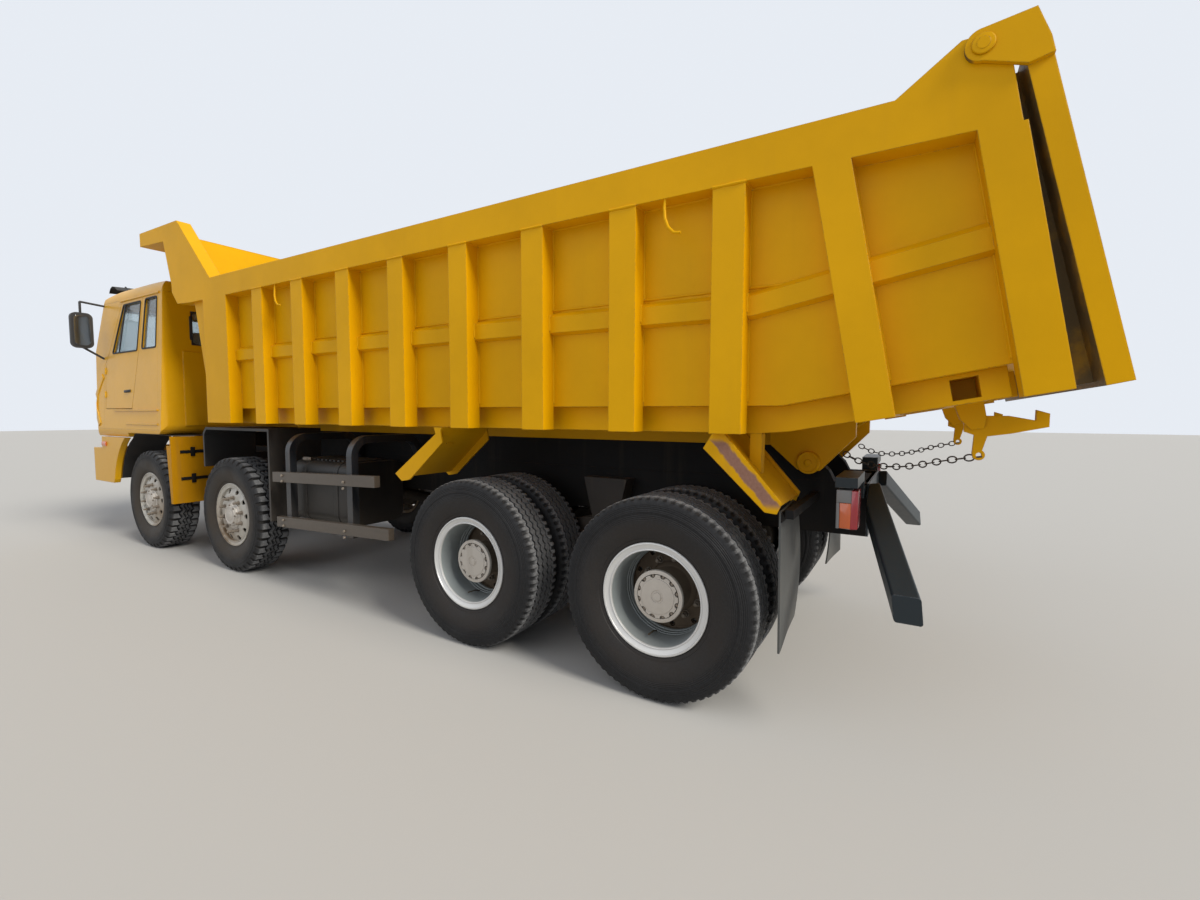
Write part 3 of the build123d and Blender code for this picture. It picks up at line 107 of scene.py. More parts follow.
class TruckFinish(bpy.types.PropertyGroup):
    paint: FloatVectorProperty(name="Body paint", description="Yellow of the bed and cab", subtype="COLOR",
                               size=3, min=0, max=1, default=(0.73, 0.375, 0.0010))
    dust: FloatVectorProperty(name="Road dust", description="Tan dust that settles low down", subtype="COLOR",
                              size=3, min=0, max=1, default=(0.26, 0.195, 0.125))
    frame_paint: FloatVectorProperty(name="Frame paint", description="Black of the chassis", subtype="COLOR",
                                     size=3, min=0, max=1, default=(0.0055, 0.0055, 0.006))
    rim_silver: FloatVectorProperty(name="Rear rim paint", description="Silver grey of the rear rims",
                                    subtype="COLOR", size=3, min=0, max=1, default=(0.66, 0.66, 0.65))
    rim_cream: FloatVectorProperty(name="Front rim paint", description="Dusty cream of the front rims",
                                   subtype="COLOR", size=3, min=0, max=1, default=(0.53, 0.51, 0.46))


class TruckTyre(bpy.types.PropertyGroup):
    rib_pitches: IntProperty(name="Rib pitches", description="Zigzags round a rear tyre", default=72, min=12, max=96)
    block_pitches: IntProperty(name="Block pitches", description="Tread blocks round a front tyre", default=40,
                               min=12, max=96)
    groove_depth: FloatProperty(name="Groove depth", description="Depth of the tread's grooves", default=0.014,
                                min=0.002, max=0.03, subtype="DISTANCE", unit="LENGTH")
    zigzag: FloatProperty(name="Zigzag", description="Sideways swing of a groove", default=0.0080,
                          min=0.0, max=0.02, subtype="DISTANCE", unit="LENGTH")


class TruckWheel(bpy.types.PropertyGroup):
    nut_circle: FloatProperty(name="Nut circle", description="Radius of the ring of wheel nuts", default=0.1675,
                              min=0.1, max=0.2, subtype="DISTANCE", unit="LENGTH")
    nut_count: IntProperty(name="Nuts", description="Wheel nuts on a hub", default=10, min=6, max=12)
    hand_holes: IntProperty(name="Hand holes", description="Round holes in a front disc", default=10, min=6, max=12)
    hub_notches: IntProperty(name="Hub notches", description="Notches round a rear hub's cover", default=12, min=6,
                             max=16)


class TruckTrim(bpy.types.PropertyGroup):
    seal: FloatProperty(name="Window seal", description="Width of the rubber round a pane", default=0.017,
                        min=0.008, max=0.05, subtype="DISTANCE", unit="LENGTH")
    weld: FloatProperty(name="Weld bead", description="Size of a fillet weld on the bed", default=0.007,
                        min=0.002, max=0.02, subtype="DISTANCE", unit="LENGTH")
    chain_wire: FloatProperty(name="Chain wire", description="Thickness of a chain link's bar", default=0.007,
                              min=0.003, max=0.02, subtype="DISTANCE", unit="LENGTH")
    chain_pitch: FloatProperty(name="Chain pitch", description="Length inside a chain link", default=0.034,
                               min=0.015, max=0.08, subtype="DISTANCE", unit="LENGTH")
    slat_gap: FloatProperty(name="Grille pitch", description="Distance between grille slats", default=0.030,
                            min=0.015, max=0.08, subtype="DISTANCE", unit="LENGTH")


def link_value(tree, socket, value):
    """Put a number, a colour or another node's output on a socket."""
    if hasattr(value, "is_output"):
        tree.links.new(value, socket)
    else:
        socket.default_value = value


def maths(tree, operation, a, b=0.0, c=0.0, clamp=False):
    n = tree.nodes.new("ShaderNodeMath")
    n.operation = operation
    n.use_clamp = clamp
    for socket, value in zip(n.inputs, (a, b, c)):
        link_value(tree, socket, value)
    return n.outputs[0]


def times(tree, a, b, clamp=False):
    return maths(tree, "MULTIPLY", a, b, clamp=clamp)


def mixed(tree, factor, a, b):
    """Colour a turning to colour b."""
    n = tree.nodes.new("ShaderNodeMix")
    n.data_type = "RGBA"
    link_value(tree, n.inputs["Factor"], factor)
    for socket, value in ((n.inputs["A"], a), (n.inputs["B"], b)):
        sockets = [s for s in n.inputs if s.name == socket.name and s.type == "RGBA"]
        link_value(tree, sockets[0], value)
    return [s for s in n.outputs if s.type == "RGBA"][0]


def ramp(tree, value, low, high, out_low=0.0, out_high=1.0):
    """Smooth step from low to high."""
    n = tree.nodes.new("ShaderNodeMapRange")
    n.interpolation_type = "SMOOTHSTEP"
    for name, v in (("Value", value), ("From Min", low), ("From Max", high), ("To Min", out_low),
                    ("To Max", out_high)):
        link_value(tree, n.inputs[name], v)
    return n.outputs[0]


def noise(tree, vector, scale, detail=4.0, roughness=0.55):
    n = tree.nodes.new("ShaderNodeTexNoise")
    tree.links.new(vector, n.inputs["Vector"])
    link_value(tree, n.inputs["Scale"], scale)
    n.inputs["Detail"].default_value = detail
    n.inputs["Roughness"].default_value = roughness
    return n.outputs["Fac"]


def new_group(name, inputs, outputs):
    """Shader node group with named sockets; returns tree, input node and output node."""
    tree = bpy.data.node_groups.new(name, "ShaderNodeTree")
    for socket, kind, default in inputs:
        s = tree.interface.new_socket(name=socket, in_out="INPUT", socket_type=kind)
        s.default_value = default
    for socket, kind in outputs:
        tree.interface.new_socket(name=socket, in_out="OUTPUT", socket_type=kind)
    return tree, tree.nodes.new("NodeGroupInput"), tree.nodes.new("NodeGroupOutput")


def object_point(tree):
    return tree.nodes.new("ShaderNodeTexCoord").outputs["Object"]


def axis_of(tree, vector, axis):
    n = tree.nodes.new("ShaderNodeSeparateXYZ")
    tree.links.new(vector, n.inputs[0])
    return n.outputs[axis]


def stretched(tree, vector, scale):
    n = tree.nodes.new("ShaderNodeMapping")
    tree.links.new(vector, n.inputs["Vector"])
    n.inputs["Scale"].default_value = scale
    return n.outputs["Vector"]


def make_edge_group():
    """Rounded edges and the paint that has gone from them."""
    tree, given, out = new_group(
        "Edge Wear",
        [("Color", COLOUR, (0.8, 0.8, 0.8, 1)), ("Bare", COLOUR, (0.1, 0.1, 0.1, 1)), ("Wear", NUMBER, 0.5),
         ("Radius", NUMBER, 0.006)],
        [("Color", COLOUR), ("Mask", NUMBER), ("Normal", VECTOR)])
    bevel = tree.nodes.new("ShaderNodeBevel")
    bevel.samples = 6
    tree.links.new(given.outputs["Radius"], bevel.inputs["Radius"])
    geometry = tree.nodes.new("ShaderNodeNewGeometry")
    dot = tree.nodes.new("ShaderNodeVectorMath")
    dot.operation = "DOT_PRODUCT"
    tree.links.new(bevel.outputs["Normal"], dot.inputs[0])
    tree.links.new(geometry.outputs["Normal"], dot.inputs[1])
    edge = ramp(tree, dot.outputs["Value"], 0.995, 0.80)
    point = object_point(tree)
    patch = ramp(tree, noise(tree, point, 2.3, 6.0, 0.7), 0.50, 0.62)
    speck = ramp(tree, noise(tree, point, 38.0, 3.0, 0.7), 0.48, 0.58)
    worn = times(tree, times(tree, edge, maths(tree, "MAXIMUM", patch, speck)),
                 given.outputs["Wear"], clamp=True)
    tree.links.new(mixed(tree, worn, given.outputs["Color"], given.outputs["Bare"]), out.inputs["Color"])
    tree.links.new(worn, out.inputs["Mask"])
    tree.links.new(bevel.outputs["Normal"], out.inputs["Normal"])
    return tree


def make_dust_group():
    """Dust low down and on what faces up, with streaks run down by rain."""
    tree, given, out = new_group(
        "Road Dust",
        [("Color", COLOUR, (0.8, 0.8, 0.8, 1)), ("Dust", COLOUR, (0.36, 0.27, 0.17, 1)), ("Amount", NUMBER, 0.5),
         ("Height", NUMBER, 1.6), ("Streaks", NUMBER, 0.2), ("Roughness", NUMBER, 0.4)],
        [("Color", COLOUR), ("Roughness", NUMBER), ("Height", NUMBER)])
    point = object_point(tree)
    broad = noise(tree, point, 1.1, 5.0, 0.6)
    fine = noise(tree, point, 24.0, 4.0, 0.65)
    grain = noise(tree, point, 210.0, 2.0, 0.5)
    run = noise(tree, stretched(tree, point, (9.0, 9.0, 0.55)), 1.0, 5.0, 0.6)
    z = axis_of(tree, point, "Z")
    low = ramp(tree, maths(tree, "DIVIDE", z, given.outputs["Height"]), 1.0, 0.15)
    up = ramp(tree, axis_of(tree, tree.nodes.new("ShaderNodeNewGeometry").outputs["Normal"], "Z"), 0.25, 0.95)
    settle = maths(tree, "MULTIPLY_ADD", up, 0.45, low)
    cloud = times(tree, ramp(tree, broad, 0.30, 0.72), maths(tree, "MULTIPLY_ADD", fine, 0.9, 0.35))
    dusty = times(tree, times(tree, settle, cloud), given.outputs["Amount"], clamp=True)
    streak = times(tree, ramp(tree, run, 0.52, 0.75), given.outputs["Streaks"])
    cover = maths(tree, "MAXIMUM", dusty, streak, clamp=True)
    tone = ramp(tree, broad, 0.25, 0.75, 0.90, 1.07)
    scaled = tree.nodes.new("ShaderNodeVectorMath")
    scaled.operation = "SCALE"
    tree.links.new(given.outputs["Color"], scaled.inputs[0])
    tree.links.new(tone, scaled.inputs["Scale"])
    tree.links.new(mixed(tree, cover, scaled.outputs[0], given.outputs["Dust"]), out.inputs["Color"])
    rough = maths(tree, "MULTIPLY_ADD", fine, 0.14, given.outputs["Roughness"])
    rough = maths(tree, "MULTIPLY_ADD", cover, 0.38, rough)
    tree.links.new(rough, out.inputs["Roughness"])
    tree.links.new(maths(tree, "MULTIPLY_ADD", grain, 0.5, fine), out.inputs["Height"])
    return tree


def use_group(tree, group, **values):
    n = tree.nodes.new("ShaderNodeGroup")
    n.node_tree = group
    for name, value in values.items():
        link_value(tree, n.inputs[name], value)
    return n


def rgba(colour):
    return (colour[0], colour[1], colour[2], 1.0)


def new_material(name):
    """Material with its tree and shader."""
    material = bpy.data.materials.new(name)
    material.use_nodes = True
    return material, material.node_tree, material.node_tree.nodes["Principled BSDF"]


def bumped(tree, shader, height, distance, strength=1.0, normal=None):
    """Relief of a given depth on a shader."""
    n = tree.nodes.new("ShaderNodeBump")
    n.inputs["Distance"].default_value = distance
    n.inputs["Strength"].default_value = strength
    tree.links.new(height, n.inputs["Height"])
    if normal:
        tree.links.new(normal, n.inputs["Normal"])
    tree.links.new(n.outputs["Normal"], shader.inputs["Normal"])


def worn_finish(name, colour, bare, dust, amount=0.5, height=1.6, wear=0.6, radius=0.005, roughness=0.35,
                streaks=0.15, metallic=0.0, bump=0.0006, coat=0.0, specular=0.5):
    """Painted, cast or rubber surface from the two shared groups."""
    material, tree, shader = new_material(name)
    edge = use_group(tree, bpy.data.node_groups["Edge Wear"], Color=rgba(colour), Bare=rgba(bare), Wear=wear,
                     Radius=radius)
    soil = use_group(tree, bpy.data.node_groups["Road Dust"], Color=edge.outputs["Color"], Dust=rgba(dust),
                     Amount=amount, Height=height, Streaks=streaks, Roughness=roughness)
    bumped(tree, shader, soil.outputs["Height"], bump, 0.6, edge.outputs["Normal"])
    tree.links.new(soil.outputs["Color"], shader.inputs["Base Color"])
    tree.links.new(soil.outputs["Roughness"], shader.inputs["Roughness"])
    shader.inputs["Metallic"].default_value = metallic
    shader.inputs["Coat Weight"].default_value = coat
    shader.inputs["Coat Roughness"].default_value = 0.2
    shader.inputs["Specular IOR Level"].default_value = specular
    return material


def make_tyre_rubber(name, dust):
    """Black rubber, brown with dust near the rim, ringed near the shoulder, and pale grey on the rib tops: painted
    highlight, with some rubbing wear.
    """
    material, tree, shader = new_material(name)
    marks = {}
    for label in ("wall", "crown", "reach"):
        n = tree.nodes.new("ShaderNodeAttribute")
        n.attribute_name = label
        marks[label] = n.outputs["Fac"]
    point = object_point(tree)
    cloud = noise(tree, point, 5.0, 6.0, 0.65)
    fine = noise(tree, point, 90.0, 3.0, 0.6)
    grey = mixed(tree, ramp(tree, fine, 0.35, 0.7), (0.006, 0.006, 0.007, 1), (0.012, 0.0125, 0.014, 1))
    brown = times(tree, marks["wall"], ramp(tree, cloud, 0.25, 0.75, 0.45, 1.0))
    base = mixed(tree, times(tree, brown, 0.65), grey, rgba(dust))
    # Rib tops mixed toward pale grey: painted highlight of the lit tread, with some rubbing wear
    rib_highlight_and_wear = times(tree, marks["crown"], ramp(tree, fine, 0.28, 0.70, 0.60, 1.0))
    tree.links.new(mixed(tree, times(tree, rib_highlight_and_wear, 0.92), base, (0.265, 0.267, 0.273, 1)),
                   shader.inputs["Base Color"])
    tree.links.new(ramp(tree, cloud, 0.2, 0.8, 0.50, 0.80), shader.inputs["Roughness"])
    shader.inputs["Specular IOR Level"].default_value = 0.3
    turn = maths(tree, "SINE", times(tree, marks["reach"], 2 * math.pi / 0.0095))
    band = times(tree, ramp(tree, marks["reach"], 0.425, 0.440), ramp(tree, marks["reach"], 0.525, 0.510))
    rings = times(tree, turn, band)
    bumped(tree, shader, maths(tree, "MULTIPLY_ADD", fine, 0.35, rings), 0.0014, 0.8)
    return material


def make_glass(name, colour, roughness=0.04, weight=0.9):
    """Thin tinted glass with a little dust."""
    material, tree, shader = new_material(name)
    fine = noise(tree, object_point(tree), 7.0, 6.0, 0.7)
    tree.links.new(ramp(tree, fine, 0.35, 0.80, roughness, roughness + 0.16), shader.inputs["Roughness"])
    tree.links.new(mixed(tree, ramp(tree, fine, 0.45, 0.9, 0.0, 0.25), rgba(colour), (0.5, 0.45, 0.38, 1)),
                   shader.inputs["Base Color"])
    shader.inputs["Transmission Weight"].default_value = weight
    shader.inputs["IOR"].default_value = 1.3
    return material


def make_lens(name, colour):
    """Ribbed lamp lens."""
    material, tree, shader = new_material(name)
    wave = tree.nodes.new("ShaderNodeTexWave")
    wave.bands_direction = "Y"
    wave.inputs["Scale"].default_value = 55.0
    tree.links.new(object_point(tree), wave.inputs["Vector"])
    bumped(tree, shader, wave.outputs["Fac"], 0.002)
    tree.links.new(mixed(tree, noise(tree, object_point(tree), 9.0), rgba(colour), rgba([c * 0.7 for c in colour])),
                   shader.inputs["Base Color"])
    shader.inputs["Roughness"].default_value = 0.12
    shader.inputs["Coat Weight"].default_value = 0.6
    return material


def make_cloth(name, colour):
    """Woven seat cover."""
    material, tree, shader = new_material(name)
    point = object_point(tree)
    warp = tree.nodes.new("ShaderNodeTexWave")
    warp.bands_direction = "X"
    weft = tree.nodes.new("ShaderNodeTexWave")
    weft.bands_direction = "Y"
    for wave in (warp, weft):
        wave.inputs["Scale"].default_value = 240.0
        tree.links.new(point, wave.inputs["Vector"])
    weave = maths(tree, "ADD", warp.outputs["Fac"], weft.outputs["Fac"])
    tree.links.new(mixed(tree, noise(tree, point, 12.0), rgba(colour), rgba([c * 1.8 for c in colour])),
                   shader.inputs["Base Color"])
    bumped(tree, shader, weave, 0.0006)
    tree.links.new(ramp(tree, weave, 0.0, 2.0, 0.78, 0.95), shader.inputs["Roughness"])
    shader.inputs["Sheen Weight"].default_value = 0.3
    return material


FINISHES = {}


def layered(material):
    """What a finish needs for one more layer: its tree, shader, colour, point and face direction."""
    tree = material.node_tree
    shader = tree.nodes["Principled BSDF"]
    return (tree, shader, shader.inputs["Base Color"].links[0].from_socket, object_point(tree),
            tree.nodes.new("ShaderNodeNewGeometry").outputs["Normal"])


def make_load_paint(name, paint, bare, dust):
    """Paint of the bed: scraped inside where loads slide, sound outside."""
    material = worn_finish(name, paint, bare, dust, 0.14, 1.9, 0.5, 0.006, 0.34, 0.06, specular=0.10)
    tree, shader, outside, point, normal = layered(material)
    side = maths(tree, "ABSOLUTE", axis_of(tree, point, "Y"))
    within = ramp(tree, side, 1.136, 1.132)
    above = ramp(tree, axis_of(tree, point, "Z"), 1.592, 1.598)
    behind = ramp(tree, axis_of(tree, point, "X"), 1.95, 1.90)
    behind = times(tree, behind, ramp(tree, axis_of(tree, normal, "Z"), -0.5, -0.2))
    behind = times(tree, behind, ramp(tree, axis_of(tree, normal, "X"), 0.40, 0.15))
    hollow = times(tree, times(tree, within, above), behind)
    drag = noise(tree, stretched(tree, point, (0.7, 9.0, 9.0)), 1.6, 6.0, 0.7)
    low = ramp(tree, axis_of(tree, point, "Z"), 2.75, 1.60)
    bared = times(tree, hollow, ramp(tree, maths(tree, "MULTIPLY_ADD", low, 0.28, drag), 0.58, 0.74))
    rusty = mixed(tree, noise(tree, point, 14.0, 5.0, 0.7), (0.11, 0.055, 0.03, 1), (0.24, 0.21, 0.18, 1))
    tree.links.new(mixed(tree, bared, outside, rusty), shader.inputs["Base Color"])
    return material


def make_gate_paint(name, paint, bare, dust):
    """Paint of the tailgate, dark brown where it faces the load and on its sideways faces in the gap: dried soil with
    painted shade of the gap.
    """
    material = worn_finish(name, paint, bare, dust, 0.16, 1.9, 0.5, 0.006, 0.34, 0.06, specular=0.10)
    tree, shader, sound, point, normal = layered(material)
    patch = ramp(tree, noise(tree, point, 5.0, 5.0, 0.65), 0.30, 0.58, 0.60, 0.97)
    side, turned = (maths(tree, "ABSOLUTE", axis_of(tree, v, "Y")) for v in (point, normal))
    step = times(tree, ramp(tree, turned, 0.6, 0.8),
                 times(tree, ramp(tree, side, 1.236, 1.228), ramp(tree, side, 1.060, 1.070)))
    # Dark brown on faces toward the load and on sideways faces in the gap: dried soil with painted shade
    soil_and_shade = times(tree, maths(tree, "MAXIMUM", ramp(tree, axis_of(tree, normal, "X"), 0.35, 0.70), step),
                   patch)
    tree.links.new(mixed(tree, soil_and_shade, sound, (0.115, 0.084, 0.044, 1)), shader.inputs["Base Color"])
    return material


def make_scraped_paint(name, paint, bare, dust):
    """Wing paint with a long scrape down to pinkish primer on its outer lip."""
    material = worn_finish(name, paint, bare, dust, 0.50, 1.9, 0.8, 0.006, 0.38, 0.22, specular=0.10)
    tree, shader, sound, point, normal = layered(material)
    x, z = axis_of(tree, point, "X"), axis_of(tree, point, "Z")
    outside = ramp(tree, maths(tree, "ABSOLUTE", axis_of(tree, point, "Y")), 1.192, 1.198)
    # Distance from the lip's middle line, which falls from front to rear
    line = maths(tree, "MULTIPLY_ADD", x, -0.751, maths(tree, "MULTIPLY_ADD", z, 0.660, -3.430))
    wobble = maths(tree, "MULTIPLY_ADD", noise(tree, point, 7.0, 5.0, 0.65), 0.06, -0.03)
    near = ramp(tree, maths(tree, "ABSOLUTE", maths(tree, "ADD", line, wobble)), 0.034, 0.022)
    span = times(tree, ramp(tree, z, 1.09, 1.13), ramp(tree, z, 1.43, 1.40))
    rear = ramp(tree, x, -2.9, -3.0)
    gone = times(tree, times(tree, near, span), times(tree, outside, rear))
    pink = mixed(tree, noise(tree, point, 60.0, 4.0, 0.7), (0.20, 0.095, 0.06, 1), (0.36, 0.20, 0.15, 1))
    tree.links.new(mixed(tree, gone, sound, pink), shader.inputs["Base Color"])
    return material


def make_guard_finish(name, hoop, rail, rust, dust, split):
    """Hoops in one colour and the rails outboard of them in another."""
    material = worn_finish(name, hoop, rust, dust, 0.30, 1.1, 0.6, 0.005, 0.32, 0.15, coat=0.2)
    tree, shader, dark, point, normal = layered(material)
    outer = ramp(tree, maths(tree, "ABSOLUTE", axis_of(tree, point, "Y")), split - 0.001, split + 0.001)
    streak = noise(tree, stretched(tree, point, (2.0, 8.0, 22.0)), 1.0, 6.0, 0.65)
    tone = mixed(tree, streak, rgba(rail), rgba([c * 1.9 for c in rail]))
    tree.links.new(mixed(tree, outer, dark, tone), shader.inputs["Base Color"])
    return material


def make_finishes():
    look = bpy.context.scene.truck_finish
    make_edge_group()
    make_dust_group()
    dust = tuple(look.dust)
    paint = tuple(look.paint)
    rust = (0.085, 0.036, 0.018)
    primer = (0.06, 0.065, 0.075)
    FINISHES.update({
        "load_yellow": make_load_paint("Load bed yellow", paint, primer, (0.42, 0.20, 0.02)),
        "gate_yellow": make_gate_paint("Tailgate yellow", paint, primer, (0.42, 0.20, 0.02)),
        "bed_yellow": worn_finish("Bed yellow", paint, primer, (0.42, 0.20, 0.02), 0.16, 1.9, 0.5, 0.006, 0.34,
                                  0.06, specular=0.10),
        "cab_yellow": worn_finish("Cab yellow", paint, primer, (0.44, 0.33, 0.16), 0.45, 2.2, 0.35, 0.012,
                                  0.28, 0.05, coat=0.2, specular=0.3),
        "wing_yellow": make_scraped_paint("Wing yellow", paint, rust, (0.30, 0.17, 0.05)),
        # Front mudguards in a darker, more orange copy of the body yellow: painted shade
        "mudguard_shaded_yellow": worn_finish("Mudguard yellow in painted shade", (0.52, 0.24, 0.003), rust, (0.20, 0.12, 0.05), 0.45, 1.2,
                                       0.5, 0.005, 0.34, 0.20, specular=0.10),
        "frame_black": worn_finish("Frame black", look.frame_paint, rust, dust, 0.14, 1.3, 0.4, 0.004, 0.55, 0.05,
                                   specular=0.15),
        "guard_black": worn_finish("Guard black", (0.015, 0.022, 0.027), (0.16, 0.17, 0.18), (0.10, 0.11, 0.12), 0.05,
                                   1.2, 0.8, 0.006, 0.30, 0.03, specular=0.3),
        "guard_rail": make_guard_finish("Side guard", (0.014, 0.017, 0.022), (0.050, 0.039, 0.029), rust, dust,
                                        1.161),
        "iron": worn_finish("Dirty iron", (0.026, 0.023, 0.021), rust, dust, 0.45, 1.1, 0.5, 0.004, 0.7, 0.25,
                            metallic=0.2, specular=0.2),
        "spring": worn_finish("Spring steel", (0.032, 0.027, 0.024), rust, dust, 0.45, 1.2, 0.8, 0.003, 0.6, 0.25,
                              metallic=0.3),
        "rim_silver": worn_finish("Rim silver", look.rim_silver, (0.2, 0.18, 0.16), (0.26, 0.21, 0.15), 0.18, 1.2,
                                  0.3, 0.003, 0.26, 0.10, metallic=0.25, coat=0.3),
        "rim_barrel": worn_finish("Rim barrel", (0.30, 0.335, 0.345), (0.2, 0.18, 0.16), (0.20, 0.17, 0.13), 0.25,
                                  1.2, 0.3, 0.003, 0.34, 0.15, metallic=0.2),
        "rim_dirty": worn_finish("Rim inner dirt", (0.110, 0.080, 0.055), rust, dust, 0.45, 1.2, 0.4, 0.003,
                                 0.75, 0.3),
        "rim_cream": worn_finish("Rim cream", look.rim_cream, rust, (0.21, 0.145, 0.085), 1.50, 1.3, 0.5, 0.003,
                                 0.32, 0.45, metallic=0.2, coat=0.1),
        "hub_grey": worn_finish("Hub grey", (0.53, 0.49, 0.44), (0.12, 0.10, 0.08), (0.20, 0.155, 0.105), 0.40, 1.2,
                                0.4, 0.002, 0.36, 0.22, metallic=0.3),
        "nut_steel": worn_finish("Nut steel", (0.26, 0.22, 0.18), rust, (0.14, 0.10, 0.065), 0.4, 1.2, 0.5, 0.001,
                                 0.45, 0.2, metallic=0.4),
        "tank": worn_finish("Tank metal", (0.014, 0.013, 0.012), (0.12, 0.12, 0.12), dust, 0.20, 1.2, 0.4, 0.006,
                            0.42, 0.12, metallic=0.2),
        "trim_black": worn_finish("Trim plastic", (0.016, 0.016, 0.017), (0.08, 0.08, 0.08), dust, 0.22, 2.0, 0.3,
                                  0.004, 0.5, 0.08),
        "flap": worn_finish("Flap rubber", (0.064, 0.067, 0.065), (0.16, 0.16, 0.15), (0.17, 0.15, 0.12), 0.40, 1.3,
                            0.4, 0.003, 0.62, 0.30),
        "hoist": worn_finish("Hoist paint", (0.12, 0.115, 0.11), rust, dust, 0.3, 1.8, 0.5, 0.004, 0.4, 0.2,
                             metallic=0.3),
        "rod": worn_finish("Polished rod", (0.62, 0.62, 0.64), (0.4, 0.4, 0.4), (0.2, 0.17, 0.13), 0.15, 1.5, 0.1,
                           0.002, 0.10, 0.05, metallic=1.0),
        "chain": worn_finish("Chain steel", (0.045, 0.036, 0.030), rust, dust, 0.3, 1.6, 0.8, 0.001, 0.5, 0.2,
                             metallic=0.5),
        # Mirror dulled to a dark grey reflector: painted shade in its reflection
        "mirror": worn_finish("Mirror glass", (0.38, 0.40, 0.42), (0.5, 0.5, 0.5), (0.4, 0.4, 0.38), 0.08, 3.0,
                              0.0, 0.001, 0.03, 0.03, metallic=1.0, bump=0.00005),
        "rubber": worn_finish("Seal rubber", (0.010, 0.010, 0.011), (0.05, 0.05, 0.05), dust, 0.15, 2.0, 0.2, 0.002,
                              0.6, 0.05),
        "grey_plastic": worn_finish("Lamp housing", (0.20, 0.20, 0.20), (0.1, 0.1, 0.1), dust, 0.2, 2.0, 0.2,
                                    0.003, 0.45, 0.1),
        "inner": worn_finish("Cab lining", (0.15, 0.14, 0.13), (0.1, 0.1, 0.1), dust, 0.2, 2.0, 0.1, 0.006, 0.7,
                             0.0),
    })
    FINISHES["tyre"] = make_tyre_rubber("Tyre rubber", (0.036, 0.029, 0.024))
    FINISHES["front_tyre"] = make_tyre_rubber("Front tyre rubber", (0.068, 0.052, 0.036))
    FINISHES["glass"] = make_glass("Cab glass", (0.72, 0.80, 0.82))
    FINISHES["lens_red"] = make_lens("Lens red", (0.42, 0.012, 0.022))
    FINISHES["lens_amber"] = make_lens("Lens amber", (0.72, 0.13, 0.015))
    FINISHES["lens_clear"] = make_lens("Lens clear", (0.72, 0.74, 0.74))
    FINISHES["cloth"] = make_cloth("Seat cloth", (0.045, 0.047, 0.055))


NODE_FINISH = {
    "load_yellow": ["bed_sides", "bed_floor", "bed_front_wall"],
    "bed_yellow": ["bed_underframe", "gate_hooks"],
    "gate_yellow": ["tailgate"],
    "wing_yellow": ["bed_wings"],
    "mudguard_shaded_yellow": ["mudguards_front"],
    "cab_yellow": ["cab_roof", "cab_floor", "cab_rear_wall", "cab_front", "cab_sides", "door_left", "door_right",
                   "front_bumper"],
    "glass": ["cab_glass", "door_glass_left", "door_glass_right"],
    "frame_black": ["frame_rails", "frame_crossmembers", "subframe", "cab_mounts"],
    "trim_black": ["mudguards_second", "mirrors", "dashboard", "battery_and_air"],
    "guard_black": ["rear_guard"],
    "guard_rail": ["side_guards"],
    "iron": ["axles", "powertrain", "knuckle_1l", "knuckle_1r", "knuckle_2l", "knuckle_2r"],
    "spring": ["leaf_springs"],
    "rim_cream": ["rim_1l", "rim_1r", "rim_2l", "rim_2r"],
    "rim_silver": ["rim_3l", "rim_3r", "rim_4l", "rim_4r"],
    "tyre": ["tyre_%d%s" % (n, s) for n in (1, 2, 3, 4) for s in "lr"],
    "tank": ["fuel_tank"],
    "flap": ["mud_flaps"],
    "hoist": ["hoist_barrel"],
    "rod": ["hoist_rod"],
    "lens_clear": ["lamps"],
    "cloth": ["seats"],
}


